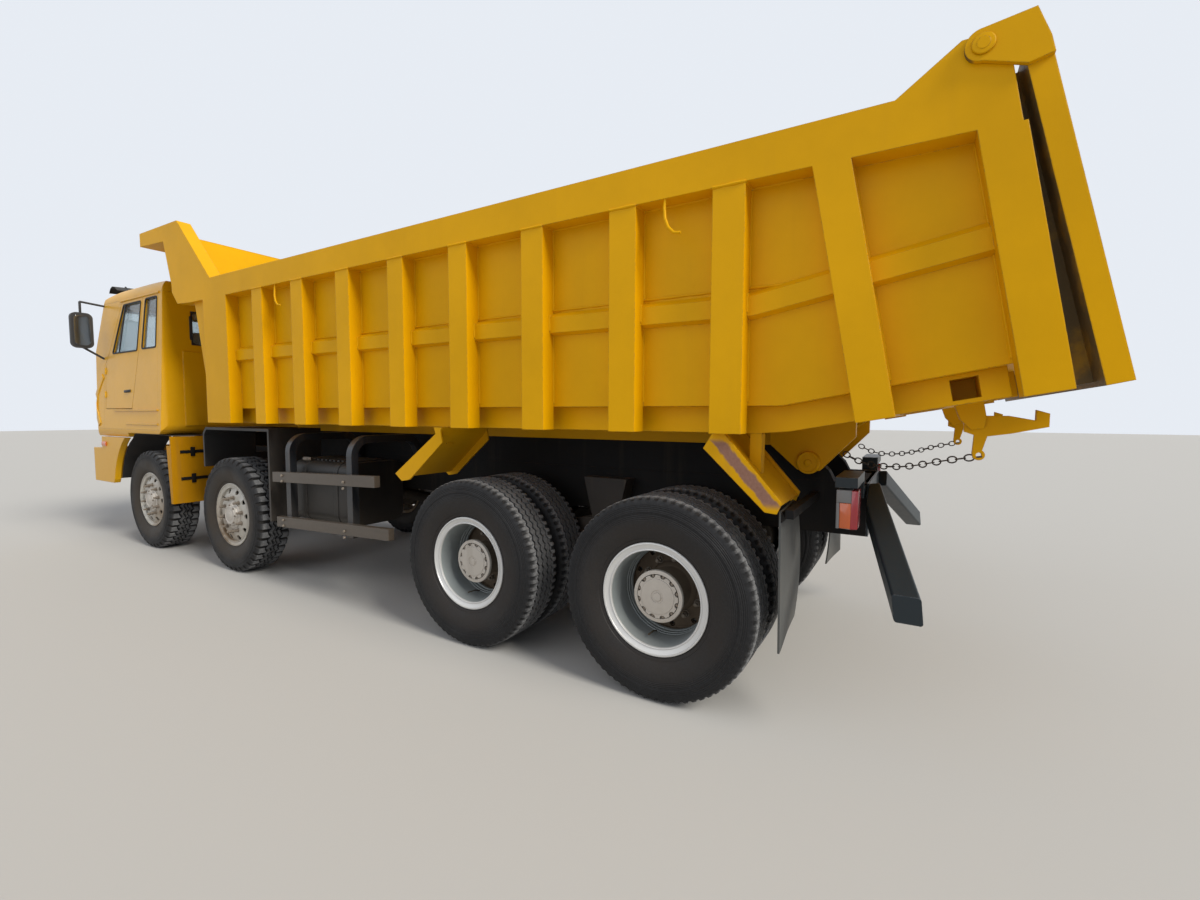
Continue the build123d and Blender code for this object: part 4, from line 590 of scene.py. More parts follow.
class Shape:
    """Vertices and faces of one piece, gathered from simple forms."""

    def __init__(self):
        self.verts, self.faces, self.marks = [], [], []

    def take(self, verts, faces, mark=0):
        start = len(self.verts)
        self.verts += [tuple(v) for v in verts]
        self.faces += [tuple(start + i for i in f) for f in faces]
        self.marks += [mark] * len(faces)
        return self

    def grid(self, rows, close_row=True, close_column=False, mark=0):
        """Quads between equal rows of points."""
        count = len(rows[0])
        faces = []
        ends = len(rows) if close_column else len(rows) - 1
        for i in range(ends):
            a, b = i * count, ((i + 1) % len(rows)) * count
            for j in range(count if close_row else count - 1):
                k = (j + 1) % count
                faces.append((a + j, a + k, b + k, b + j))
        return self.take([p for row in rows for p in row], faces, mark)

    def lathe(self, profile, x, z, segments=96, mark=0):
        """Outline of (radius, y) turned about an axle along Y."""
        rows = []
        for i in range(segments):
            a = 2 * math.pi * i / segments
            rows.append([(x + r * math.cos(a), y, z + r * math.sin(a)) for r, y in profile])
        return self.grid(rows, close_column=True, mark=mark)

    def box(self, low, high, mark=0):
        x, y, z = zip(low, high)
        verts = [(x[i], y[j], z[k]) for i in (0, 1) for j in (0, 1) for k in (0, 1)]
        faces = [(0, 1, 3, 2), (4, 6, 7, 5), (0, 4, 5, 1), (2, 3, 7, 6), (0, 2, 6, 4), (1, 5, 7, 3)]
        return self.take(verts, faces, mark)

    def plate(self, outline, low, high, axis="y", mark=0):
        """Flat outline given a thickness along an axis."""
        place = {"y": lambda a, b, t: (a, t, b), "x": lambda a, b, t: (t, a, b), "z": lambda a, b, t: (a, b, t)}[axis]
        count = len(outline)
        verts = [place(a, b, t) for t in (low, high) for a, b in outline]
        faces = [tuple(range(count)), tuple(range(2 * count - 1, count - 1, -1))]
        faces += [(i, i + count, (i + 1) % count + count, (i + 1) % count) for i in range(count)]
        return self.take(verts, faces, mark)

    def ends(self, first, count, last, mark=0):
        """Close both ends of a bar whose rows have count points each; last is its last row."""
        self.faces += [tuple(first + k for k in range(count)), tuple(first + last * count + k for k in range(count))]
        self.marks += [mark, mark]
        return self

    def tube(self, points, radius, sides=8, mark=0):
        """Round bar along points."""
        points = [Vector(p) for p in points]
        last = len(points) - 1
        rows, normal = [], None
        for i, p in enumerate(points):
            along = (points[min(i + 1, last)] - points[max(i - 1, 0)]).normalized()
            if normal is None:
                normal = along.orthogonal().normalized()
            normal = (normal - along * normal.dot(along)).normalized()
            across = along.cross(normal)
            rows.append([p + (normal * math.cos(t) + across * math.sin(t)) * radius
                         for t in [2 * math.pi * k / sides for k in range(sides)]])
        first = len(self.verts)
        return self.grid(rows, mark=mark).ends(first, sides, last, mark)

    def mirrored(self):
        """Add the mirror image across the middle."""
        verts = [(x, -y, z) for x, y, z in self.verts]
        faces = [tuple(reversed(f)) for f in self.faces]
        marks = list(self.marks)
        self.take(verts, faces)
        self.marks[len(marks):] = marks
        return self

    def made(self, name, finishes, body, slot, smooth=35.0, bevel=0.0, replaces=()):
        """Mesh object with its finishes, riding on a body."""
        mesh = bpy.data.meshes.new(name)
        mesh.from_pydata(self.verts, [], self.faces)
        for finish in finishes:
            mesh.materials.append(FINISHES[finish])
        mesh.polygons.foreach_set("material_index", self.marks)
        tidy(mesh, smooth)
        piece = bpy.data.objects.new(name, mesh)
        return placed(piece, body, smooth, bevel, replaces)


def tidy(mesh, smooth, weld=1e-6):
    """Weld doubles, turn faces outwards and set shading."""
    work = bmesh.new()
    work.from_mesh(mesh)
    bmesh.ops.remove_doubles(work, verts=work.verts, dist=weld)
    bmesh.ops.dissolve_degenerate(work, edges=work.edges, dist=1e-7)
    bmesh.ops.recalc_face_normals(work, faces=work.faces)
    work.to_mesh(mesh)
    work.free()
    mesh.polygons.foreach_set("use_smooth", [True] * len(mesh.polygons))
    mesh.set_sharp_from_angle(angle=math.radians(smooth))
    mesh.update()


def placed(piece, body, smooth=35.0, bevel=0.0, replaces=()):
    """Link a piece, round its edges and let it ride."""
    bpy.context.scene.collection.objects.link(piece)
    if bevel:
        rounding = piece.modifiers.new("Rounded edges", "BEVEL")
        rounding.width = bevel
        rounding.segments = 2
        rounding.limit_method = "ANGLE"
        rounding.angle_limit = math.radians(40)
        apply_all(piece)
        piece.data.set_sharp_from_angle(angle=math.radians(smooth))
    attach(piece, body)
    if replaces:
        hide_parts(*replaces)
    return piece


def apply_all(piece):
    """Turn the evaluated piece into its plain mesh."""
    graph = bpy.context.evaluated_depsgraph_get()
    graph.update()
    mesh = bpy.data.meshes.new_from_object(piece.evaluated_get(graph))
    piece.modifiers.clear()
    old = piece.data
    piece.data = mesh
    if old.users == 0:
        bpy.data.meshes.remove(old)
    return piece


# Half outline of a tyre from bead to shoulder: radius, distance from the middle, wall dust
TYRE_WALL = [
    (0.2906, 0.1040, 1.0), (0.3030, 0.1045, 1.0), (0.3085, 0.1130, 1.0), (0.3220, 0.1215, 1.0),
    (0.3300, 0.1225, 1.0), (0.3335, 0.1275, 1.0), (0.3500, 0.1350, 1.0), (0.3850, 0.1460, 0.95),
    (0.4200, 0.1508, 0.75), (0.4420, 0.1518, 0.40), (0.4600, 0.1512, 0.22), (0.4700, 0.1498, 0.15),
    (0.4718, 0.1516, 0.12), (0.4850, 0.1500, 0.10), (0.4870, 0.1478, 0.10), (0.5090, 0.1450, 0.05),
]
# The same from shoulder to the first groove; these points carry the notches
RIB_SHOULDER = [(0.5230, 0.1405), (0.5400, 0.1335), (0.5495, 0.1245), (0.5530, 0.1130)]
# Grooves of a rib tyre: place and half width
RIB_GROOVES = [(0.0700, 0.0080), (0.0240, 0.0080)]
RIB_PHASES = [0.0, 0.16, 0.5, 0.66]
BLOCK_GROOVES = [(0.0560, 0.0065), (0.0170, 0.0060)]
BLOCK_PHASES = [0.0, 0.06, 0.36, 0.42, 0.61, 0.81]


def swing(phase):
    """Zigzag between -1 and 1."""
    return 1.0 - 4.0 * abs((phase % 1.0) - 0.5)


def shoulder_points(cut, blocks):
    """Shoulder of one row: radius, distance, wall dust and crown mark, which sets the painted highlight on the rib
    tops.
    """
    points = []
    for k, (r, y) in enumerate(RIB_SHOULDER):
        if not cut:
            points.append((r, y, 0.05, (0.0, 0.06, 0.22, 0.85)[k]))
        elif blocks:
            points.append((r - (0.004, 0.012, 0.014, 0.013)[k], y - (0.008, 0.008, 0.008, 0.0)[k], 0.3, 0.0))
        else:
            points.append((r - (0.0, 0.002, 0.007, 0.010)[k], y - (0.0, 0.002, 0.008, 0.012)[k], 0.05,
                           (0.0, 0.0, 0.05, 0.10)[k]))
    return points


def tyre_rows(x, y, pitches, depth, zigzag, blocks):
    """Rows of points round one tyre, with wall, crown and reach marks."""
    rows, walls, crowns, reaches = [], [], [], []
    grooves = BLOCK_GROOVES if blocks else RIB_GROOVES
    for pitch in range(pitches):
        for step, phase in enumerate(BLOCK_PHASES if blocks else RIB_PHASES):
            turn = 2 * math.pi * (pitch + phase) / pitches
            half = {}
            for side in (1, -1):
                cut = step in (1, 2) if side > 0 or not blocks else step in (3, 4)
                points = [(r, yy, w, 0.0) for r, yy, w in TYRE_WALL] + shoulder_points(cut, blocks)
                for k, (place, width) in enumerate(grooves):
                    shift = 0.0 if (side > 0) == (k == 0 or blocks) else 0.5
                    sway = zigzag * swing(phase + shift) * (1.8 if blocks else 1.0)
                    top = TYRE_R - (0.0012 if k == 0 else 0.0)
                    outer_cut = blocks and cut and k == 0
                    inner_cut = blocks and step in ((4, 5) if side > 0 else (1, 2))
                    # The fourth value is the crown mark: how much painted highlight a rib top gets
                    points.append((top - (depth if outer_cut else 0.0), place + width + sway, 0.0,
                                   0.0 if outer_cut else 1.0 - 0.45 * k))
                    points.append((top - depth, place + width * 0.7 + sway, 0.0, 0.0))
                    points.append((top - depth, place - width * 0.7 + sway, 0.0, 0.0))
                    points.append((TYRE_R - (depth * 0.8 if inner_cut else 0.0), place - width + sway, 0.0,
                                   0.0 if inner_cut else 0.55))
                half[side] = points
            line = half[1] + [(r, -yy, w, c) for r, yy, w, c in reversed(half[-1])]
            rows.append([(x + r * math.cos(turn), y + yy, WHEEL_Z + r * math.sin(turn)) for r, yy, w, c in line])
            walls += [w for r, yy, w, c in line]
            crowns += [c for r, yy, w, c in line]
            reaches += [r for r, yy, w, c in line]
    return rows, walls, crowns, reaches


def build_tyre(name, x, places, side, blocks, body, node):
    size = bpy.context.scene.truck_tyre
    shape = Shape()
    marks = {"wall": [], "crown": [], "reach": []}
    for y in places:
        pitches = size.block_pitches if blocks else size.rib_pitches
        rows, *values = tyre_rows(x, side * y, pitches, size.groove_depth, size.zigzag, blocks)
        shape.grid(rows, close_column=True)
        for key, value in zip(marks, values):
            marks[key] += value
    mesh = bpy.data.meshes.new(name)
    mesh.from_pydata(shape.verts, [], shape.faces)
    mesh.materials.append(FINISHES["front_tyre" if blocks else "tyre"])
    for label, values in marks.items():
        layer = mesh.attributes.new(label, "FLOAT", "POINT")
        layer.data.foreach_set("value", values)
    tidy(mesh, 30.0, 1e-7)
    piece = bpy.data.objects.new(name, mesh)
    return placed(piece, body, 30.0, replaces=[node])


# Rim well and both flanges round one tyre: radius, distance outwards from the tyre's middle
RIM_BAND = [(0.2790, -0.119), (0.3030, -0.119), (0.3030, -0.108), (0.2895, -0.105), (0.2880, 0.0), (0.2895, 0.105),
            (0.3050, 0.1085), (0.3085, 0.1160), (0.3060, 0.1215), (0.2985, 0.1225), (0.2960, 0.1170),
            (0.2720, 0.1085), (0.2700, 0.1125), (0.2655, 0.1135), (0.2625, 0.1110), (0.2610, 0.1010),
            (0.2570, 0.0850)]


def moved(outline, y, way=1):
    """Turned outline set at y along the axle; way -1 turns it over."""
    return [(r, y + way * d) for r, d in outline]


def ring_of(x, r, y, total, turn):
    angles = [turn + 2 * math.pi * i / total for i in range(total)]
    return [(x + r * math.cos(a), y, WHEEL_Z + r * math.sin(a)) for a in angles]


def disc_with_holes(shape, x, profile, count, hole, mark, thick=0.012, turn=0.0):
    """Turned disc whose band between profile points 1 and 2 has round holes."""
    per = 12
    total = count * per
    (r0, y0), (r1, y1), (r2, y2), (r3, y3) = profile
    middle = (r1 + r2) / 2
    slope = (y2 - y1) / (r2 - r1)
    for front in (0, 1):
        offset = thick * front
        rings = [ring_of(x, r, y - offset, total, turn) for r, y in profile]
        shape.grid(rings[:2], mark=mark)
        shape.grid(rings[2:], mark=mark)
        for k in range(count):
            centre = turn + 2 * math.pi * (k + 0.5) / count
            cx, cz = middle * math.cos(centre), middle * math.sin(centre)
            cell = [rings[1][(k * per + i) % total] for i in range(per + 1)]
            cell += [rings[2][(k * per + i) % total] for i in range(per, -1, -1)]
            n = len(cell)
            circle = []
            for px, py, pz in cell:
                way = math.atan2(pz - WHEEL_Z - cz, px - x - cx)
                hx, hz = cx + hole * math.cos(way), cz + hole * math.sin(way)
                circle.append((x + hx, y1 + slope * (math.hypot(hx, hz) - r1) - offset, WHEEL_Z + hz))
            shape.take(cell + circle, [(i, (i + 1) % n, n + (i + 1) % n, n + i) for i in range(n)], mark)
            if front == 0:
                back = [(px, py - thick, pz) for px, py, pz in circle]
                shape.take(circle + back, [(i, (i + 1) % n, n + (i + 1) % n, n + i) for i in range(n)], mark)
    return shape


def notched_ring(x, radius, bite, count, per=14):
    """Round outline with a bite out of its edge for each bolt."""
    outline = []
    for i in range(count * per):
        a = 2 * math.pi * i / (count * per)
        off = ((a * count / (2 * math.pi)) % 1.0 - 0.5) * 2 * math.pi / count
        depth = bite * math.sqrt(max(0.0, 1.0 - (off * radius / bite) ** 2))
        r = radius - 0.9 * depth
        outline.append((x + r * math.cos(a), WHEEL_Z + r * math.sin(a)))
    return outline


def rim_made(shape, label, number, letter, side, finishes, slot):
    """Rim piece, built for the left and turned over for the right."""
    if side < 0:
        shape.verts = [(x, -y, z) for x, y, z in shape.verts]
    wheel = "%d%s" % (number, letter)
    return shape.made(label + wheel, finishes, "wheel_" + wheel, slot, 32.0, replaces=["rim_" + wheel])


def build_front_rim(number, letter, side):
    """Front rim with its holed disc, hub, brake drum and valve."""
    size = bpy.context.scene.truck_wheel
    x, y = AXLE_X[number], FRONT_Y
    shape = Shape()
    inner = [(0.2560, 0.072), (0.2700, 0.050), (0.2700, -0.112)]
    shape.lathe(moved(RIM_BAND + inner, y), x, WHEEL_Z)
    disc = [(0.2620, 0.087), (0.2600, 0.091), (0.2050, 0.113), (0.1280, 0.110)]
    disc_with_holes(shape, x, moved(disc, y), size.hand_holes, 0.0255, 0, turn=math.pi / size.hand_holes)
    hub = [(0.052, 0.090), (0.134, 0.090), (0.134, 0.116), (0.128, 0.120), (0.112, 0.122), (0.107, 0.135),
           (0.102, 0.139), (0.092, 0.140), (0.089, 0.145), (0.078, 0.147), (0.074, 0.143), (0.052, 0.143),
           (0.048, 0.147), (0.030, 0.148), (0.026, 0.151), (0.000, 0.152), (0.000, 0.100), (0.052, 0.100)]
    shape.lathe(moved(hub, y), x, WHEEL_Z, 64, mark=1)
    drum = [(0.0505, 0.935), (0.198, 0.935), (0.205, 0.941)]
    drum += moved([(0.205, 0.020), (0.196, 0.030), (0.120, 0.040), (0.110, 0.091), (0.0505, 0.091)], y)
    shape.lathe(drum, x, WHEEL_Z, 64, mark=2)
    shape.tube([(x + 0.128, y + 0.104, WHEEL_Z + 0.154), (x + 0.130, y + 0.122, WHEEL_Z + 0.157),
                (x + 0.138, y + 0.130, WHEEL_Z + 0.166)], 0.0045, mark=2)
    return rim_made(shape, "rim_front_", number, letter, side, ["rim_cream", "hub_grey", "iron"], "rim_beige")


def build_rear_rim(number, letter, side):
    """Twin rims with their discs, hub, notched cover, brake drum and valve."""
    size = bpy.context.scene.truck_wheel
    x = AXLE_X[number]
    y_out, y_in = REAR_OUT_Y, REAR_IN_Y
    middle = (y_out + y_in) / 2
    shape = Shape()
    for y, out in ((y_out, 1), (y_in, -1)):
        inner = [(0.2540, 0.010), (0.2510, -0.060), (0.2475, -0.063), (0.2470, -0.078), (0.2435, -0.081),
                 (0.2425, -0.100), (0.2375, -0.104), (0.2360, -0.118), (0.2790, -0.122)]
        first = len(shape.marks)
        profile = moved(RIM_BAND + inner, y, out)
        shape.lathe(profile, x, WHEEL_Z)
        # The barrel starts two points before the band's end, and has a darker finish
        for k in range(first, len(shape.marks)):
            if (k - first) % len(profile) > len(RIM_BAND) - 3:
                shape.marks[k] = 4
    for disc, out in ((middle + 0.018, 1), (middle - 0.006, -1)):
        profile = [(0.2460, disc - out * 0.006), (0.2400, disc - 0.002), (0.2040, disc), (0.1300, disc)]
        disc_with_holes(shape, x, profile, 10, 0.0160, 1)
    seam = [(0.2475, middle + 0.045), (0.2475, middle - 0.045), (0.2400, middle - 0.012), (0.2400, middle + 0.012)]
    shape.lathe(seam, x, WHEEL_Z, mark=1)
    barrel = [(0.052, middle - 0.02), (0.140, middle - 0.02), (0.146, middle + 0.024), (0.140, middle + 0.034),
              (0.122, middle + 0.044), (0.112, middle + 0.070), (0.112, y_out + 0.028), (0.052, y_out + 0.028)]
    shape.lathe(barrel, x, WHEEL_Z, mark=1)
    hub = [(0.052, 0.020), (0.110, 0.020), (0.130, 0.031), (0.1445, 0.040), (0.1455, 0.052), (0.1425, 0.058),
           (0.1230, 0.0600), (0.1215, 0.0480), (0.052, 0.0480)]
    shape.lathe(moved(hub, y_out), x, WHEEL_Z, mark=2)
    # Dark iron disc laid just over the grey hub face behind the cover's notches: painted shade in the notches
    notch_shade_disc = [(0.1210, 0.0485), (0.0950, 0.0485), (0.0950, 0.0465), (0.1210, 0.0465)]
    shape.lathe(moved(notch_shade_disc, y_out), x, WHEEL_Z, 64, mark=3)
    shape.plate(notched_ring(x, 0.1195, 0.0175, size.hub_notches), y_out + 0.0475, y_out + 0.0625, mark=2)
    cap = [(0.098, 0.0620), (0.096, 0.0655), (0.060, 0.0665), (0.036, 0.0670), (0.034, 0.0640), (0.024, 0.0640),
           (0.022, 0.0705), (0.000, 0.0715), (0.000, 0.0600), (0.094, 0.0600)]
    shape.lathe(moved(cap, y_out), x, WHEEL_Z, 64, mark=2)
    drum = [(0.0505, 0.600), (0.196, 0.600), (0.206, 0.608), (0.206, 0.780), (0.198, middle - 0.040),
            (0.150, middle - 0.019), (0.0505, middle - 0.019)]
    shape.lathe(drum, x, WHEEL_Z, 64, mark=3)
    shape.tube([(x + 0.060, y_out - 0.060, WHEEL_Z - 0.244), (x + 0.056, y_out - 0.010, WHEEL_Z - 0.228),
                (x + 0.052, y_out + 0.060, WHEEL_Z - 0.222)], 0.0045, mark=3)
    return rim_made(shape, "rim_rear_", number, letter, side,
                    ["rim_silver", "rim_dirty", "hub_grey", "iron", "rim_barrel"], "rim_grey")


class Tree:
    """Geometry Nodes tree under construction, with named inputs."""

    def __init__(self, name, inputs, path=False):
        self.tree = bpy.data.node_groups.new(name, "GeometryNodeTree")
        self.tree.interface.new_socket(name="Geometry", in_out="OUTPUT", socket_type="NodeSocketGeometry")
        if path:
            self.tree.interface.new_socket(name="Path", in_out="INPUT", socket_type="NodeSocketGeometry")
        for label, kind, value in inputs + [("Material", "NodeSocketMaterial", None)]:
            socket = self.tree.interface.new_socket(name=label, in_out="INPUT", socket_type=kind)
            if value is not None:
                socket.default_value = value
        self.given = self.tree.nodes.new("NodeGroupInput").outputs

    def node(self, kind, values=(), **settings):
        """Add a node; values go to its inputs by name or number."""
        n = self.tree.nodes.new(kind)
        for key, value in settings.items():
            setattr(n, key, value)
        for key, value in dict(values).items():
            if isinstance(value, str) and value in self.given:
                value = self.given[value]
            link_value(self.tree, n.inputs[key], value)
        return n

    def joined(self, pieces):
        n = self.tree.nodes.new("GeometryNodeJoinGeometry")
        for piece in pieces:
            self.tree.links.new(piece, n.inputs[0])
        return n.outputs[0]

    def finish(self, geometry):
        """Real mesh with its material."""
        real = self.node("GeometryNodeRealizeInstances", {0: geometry})
        paint = self.node("GeometryNodeSetMaterial", {"Geometry": real.outputs[0], "Material": "Material"})
        out = self.tree.nodes.new("NodeGroupOutput")
        self.tree.links.new(paint.outputs[0], out.inputs[0])
        return self.tree


def lifted_rod(tree, radius, height, sides):
    """Upright bar that starts at nought."""
    rod = tree.node("GeometryNodeMeshCylinder", {"Radius": radius, "Depth": height, "Vertices": sides})
    half = tree.node("ShaderNodeMath", {0: height, 1: 0.5}, operation="MULTIPLY")
    lift = tree.node("ShaderNodeCombineXYZ", {"Z": half.outputs[0]})
    move = tree.node("GeometryNodeTransform", {"Geometry": rod.outputs["Mesh"], "Translation": lift.outputs[0]})
    return move.outputs[0]


def make_ring_tree():
    """Nuts on studs round a circle."""
    tree = Tree("Nut Ring", [("Count", WHOLE, 10), ("Circle", NUMBER, 0.1675), ("Nut Radius", NUMBER, 0.016),
                             ("Nut Height", NUMBER, 0.024), ("Sides", WHOLE, 6), ("Stud Radius", NUMBER, 0.010),
                             ("Stud Height", NUMBER, 0.04)])
    circle = tree.node("GeometryNodeMeshCircle", {"Vertices": "Count", "Radius": "Circle"})
    nut = lifted_rod(tree, tree.given["Nut Radius"], tree.given["Nut Height"], tree.given["Sides"])
    stud = lifted_rod(tree, tree.given["Stud Radius"], tree.given["Stud Height"], 12)
    washer_r = tree.node("ShaderNodeMath", {0: "Nut Radius", 1: 1.25}, operation="MULTIPLY")
    washer_h = tree.node("ShaderNodeMath", {0: "Nut Height", 1: 0.15}, operation="MULTIPLY")
    washer = lifted_rod(tree, washer_r.outputs[0], washer_h.outputs[0], 16)
    points = tree.node("GeometryNodeInstanceOnPoints", {"Points": circle.outputs["Mesh"],
                                                        "Instance": tree.joined([nut, stud, washer])})
    return tree.finish(points.outputs[0])


def make_row_tree():
    """Domed rivets or hexagon bolt heads along a straight row."""
    tree = Tree("Rivet Row", [("Count", WHOLE, 8), ("Start", VECTOR, (0, 0, 0)), ("Step", VECTOR, (0.1, 0, 0)),
                              ("Radius", NUMBER, 0.011), ("Height", NUMBER, 0.007), ("Sides", WHOLE, 12),
                              ("Crown", NUMBER, 0.6)])
    line = tree.node("GeometryNodeMeshLine", {"Count": "Count", "Start Location": "Start", "Offset": "Step"})
    head = tree.node("GeometryNodeMeshCone", {"Vertices": "Sides", "Radius Bottom": "Radius", "Depth": "Height"})
    top = tree.node("ShaderNodeMath", {0: "Radius", 1: "Crown"}, operation="MULTIPLY")
    link_value(tree.tree, head.inputs["Radius Top"], top.outputs[0])
    points = tree.node("GeometryNodeInstanceOnPoints", {"Points": line.outputs[0], "Instance": head.outputs["Mesh"]})
    return tree.finish(points.outputs[0])


def make_slat_tree():
    """Equal slats one behind the other."""
    tree = Tree("Slat Row", [("Count", WHOLE, 8), ("Start", VECTOR, (0, 0, 0)), ("Step", VECTOR, (0, 0, 0.03)),
                             ("Size", VECTOR, (0.01, 1.0, 0.012)), ("Turn", VECTOR, (0, 0, 0))])
    line = tree.node("GeometryNodeMeshLine", {"Count": "Count", "Start Location": "Start", "Offset": "Step"})
    slat = tree.node("GeometryNodeMeshCube", {"Size": "Size"})
    turned = tree.node("GeometryNodeTransform", {"Geometry": slat.outputs["Mesh"], "Rotation": "Turn"})
    points = tree.node("GeometryNodeInstanceOnPoints", {"Points": line.outputs[0], "Instance": turned.outputs[0]})
    return tree.finish(points.outputs[0])


def make_chain_tree():
    """Links along the curve that the tree is given, every second one turned."""
    tree = Tree("Chain", [("Pitch", NUMBER, 0.034), ("Wire", NUMBER, 0.009), ("Width", NUMBER, 0.030)], path=True)
    even = tree.node("GeometryNodeResampleCurve", {"Curve": "Path", "Length": "Pitch"}, mode="LENGTH")
    points = tree.node("GeometryNodeCurveToPoints", {"Curve": even.outputs[0]}, mode="EVALUATED")
    oval = tree.node("GeometryNodeCurvePrimitiveCircle", {"Radius": 0.5, "Resolution": 14})
    long = tree.node("ShaderNodeMath", {0: "Pitch", 1: "Wire"}, operation="ADD")
    shape = tree.node("ShaderNodeCombineXYZ", {"X": long.outputs[0], "Y": "Width", "Z": 1.0})
    link = tree.node("GeometryNodeTransform", {"Geometry": oval.outputs[0], "Scale": shape.outputs[0]})
    half = tree.node("ShaderNodeMath", {0: "Wire", 1: 0.5}, operation="MULTIPLY")
    section = tree.node("GeometryNodeCurvePrimitiveCircle", {"Resolution": 6})
    link_value(tree.tree, section.inputs["Radius"], half.outputs[0])
    bar = tree.node("GeometryNodeCurveToMesh", {"Curve": link.outputs[0], "Profile Curve": section.outputs[0]})
    index = tree.node("GeometryNodeInputIndex")
    odd = tree.node("ShaderNodeMath", {0: index.outputs[0], 1: 2.0}, operation="MODULO")
    roll = tree.node("ShaderNodeMath", {0: odd.outputs[0], 1: math.pi / 2}, operation="MULTIPLY")
    spin = tree.node("ShaderNodeCombineXYZ", {"X": roll.outputs[0]})
    aimed = tree.node("FunctionNodeAlignRotationToVector", {"Vector": points.outputs["Tangent"]}, axis="X")
    turned = tree.node("FunctionNodeRotateRotation", {"Rotation": aimed.outputs[0], "Rotate By": spin.outputs[0]},
                       rotation_space="LOCAL")
    placed_links = tree.node("GeometryNodeInstanceOnPoints",
                             {"Points": points.outputs["Points"], "Instance": bar.outputs[0],
                              "Rotation": turned.outputs[0]})
    return tree.finish(placed_links.outputs[0])


def tree_mesh(holder, tree, values):
    """Plain mesh that a tree gives on a holder object."""
    bpy.context.scene.collection.objects.link(holder)
    modifier = holder.modifiers.new("Nodes", "NODES")
    modifier.node_group = tree
    keys = {s.name: s.identifier for s in tree.interface.items_tree if s.in_out == "INPUT"}
    for key, value in values.items():
        modifier[keys[key]] = value
    graph = bpy.context.evaluated_depsgraph_get()
    graph.update()
    mesh = bpy.data.meshes.new_from_object(holder.evaluated_get(graph))
    bpy.data.objects.remove(holder)
    return mesh


def route_curve(name, points):
    """Smooth curve through given points, for a tree to follow."""
    curve = bpy.data.curves.new(name, "CURVE")
    curve.dimensions = "3D"
    spline = curve.splines.new("NURBS")
    spline.points.add(len(points) - 1)
    for spot, point in zip(spline.points, points):
        spot.co = (*point, 1.0)
    spline.order_u = 3
    spline.use_endpoint_u = True
    return curve


def from_tree(name, runs, body, smooth=30.0):
    """One piece from several runs of trees: each is (tree, values, matrices) and, for a chain, its route."""
    work = bmesh.new()
    materials = []
    for label, values, matrices, *route in runs:
        data = route_curve(name + "_work", route[0]) if route else bpy.data.meshes.new(name + "_work")
        holder = bpy.data.objects.new(name + "_work", data)
        unit = tree_mesh(holder, bpy.data.node_groups[label], values)
        for material in unit.materials:
            if material not in materials:
                materials.append(material)
        spot = [materials.index(m) for m in unit.materials]
        unit.polygons.foreach_set("material_index", [spot[p.material_index] for p in unit.polygons])
        for matrix in matrices:
            copy = unit.copy()
            copy.transform(matrix)
            work.from_mesh(copy)
            bpy.data.meshes.remove(copy)
    bmesh.ops.recalc_face_normals(work, faces=work.faces)
    mesh = bpy.data.meshes.new(name)
    work.to_mesh(mesh)
    work.free()
    for material in materials:
        mesh.materials.append(material)
    mesh.polygons.foreach_set("use_smooth", [True] * len(mesh.polygons))
    mesh.set_sharp_from_angle(angle=math.radians(smooth))
    return placed(bpy.data.objects.new(name, mesh), body, smooth)


def facing_y(x, y, z, side, turn=0.0):
    """Matrix that sets a tree's +Z along the truck's left or right."""
    lean = Matrix.Rotation(-math.pi / 2 * side, 4, "X")
    return Matrix.Translation((x, y, z)) @ Matrix.Rotation(turn, 4, "Y") @ lean


def build_nuts(number, letter, side):
    size = bpy.context.scene.truck_wheel
    x = AXLE_X[number]
    steel = {"Material": FINISHES["nut_steel"]}
    wheel = dict(steel, Count=size.nut_count, Circle=size.nut_circle)
    wheel.update({"Nut Radius": 0.0175, "Nut Height": 0.026, "Stud Radius": 0.0105, "Stud Height": 0.052})
    if number < 3:
        caps = dict(steel, Count=8, Circle=0.094)
        caps.update({"Nut Radius": 0.008, "Nut Height": 0.007, "Stud Radius": 0.004, "Stud Height": 0.009})
        runs = [("Nut Ring", wheel, [facing_y(x, side * (FRONT_Y + 0.110), WHEEL_Z, side, 0.2)]),
                ("Nut Ring", caps, [facing_y(x, side * (FRONT_Y + 0.140), WHEEL_Z, side)])]
    else:
        middle = (REAR_OUT_Y + REAR_IN_Y) / 2
        wheel["Stud Height"] = 0.045
        bolts = dict(steel, Count=size.hub_notches, Circle=0.1135)
        bolts.update({"Nut Radius": 0.0085, "Nut Height": 0.008, "Stud Radius": 0.005, "Stud Height": 0.009})
        half_pitch = math.pi / size.hub_notches
        runs = [("Nut Ring", wheel, [facing_y(x, side * (middle + 0.018), WHEEL_Z, side, 0.2)]),
                ("Nut Ring", bolts, [facing_y(x, side * (REAR_OUT_Y + 0.048), WHEEL_Z, side, half_pitch)])]
    from_tree("nuts_%d%s" % (number, letter), runs, "wheel_%d%s" % (number, letter))


def rounded(outline, radius, steps=4):
    """Closed outline with each corner turned into a short arc."""
    points = []
    count = len(outline)
    for i in range(count):
        before, corner, after = (Vector(outline[(i + k) % count]) for k in (-1, 0, 1))
        a, b = before - corner, after - corner
        reach = min(radius, a.length * 0.45, b.length * 0.45)
        start, end = corner + a.normalized() * reach, corner + b.normalized() * reach
        for k in range(steps + 1):
            t = k / steps
            points.append(start.lerp(corner, t).lerp(corner.lerp(end, t), t))
    return points


def skin(*names):
    """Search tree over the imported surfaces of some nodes."""
    verts, faces = [], []
    for name in names:
        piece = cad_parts[name]
        start = len(verts)
        verts += [piece.matrix_world @ v.co for v in piece.data.vertices]
        faces += [[start + i for i in p.vertices] for p in piece.data.polygons]
    return BVHTree.FromPolygons(verts, faces)


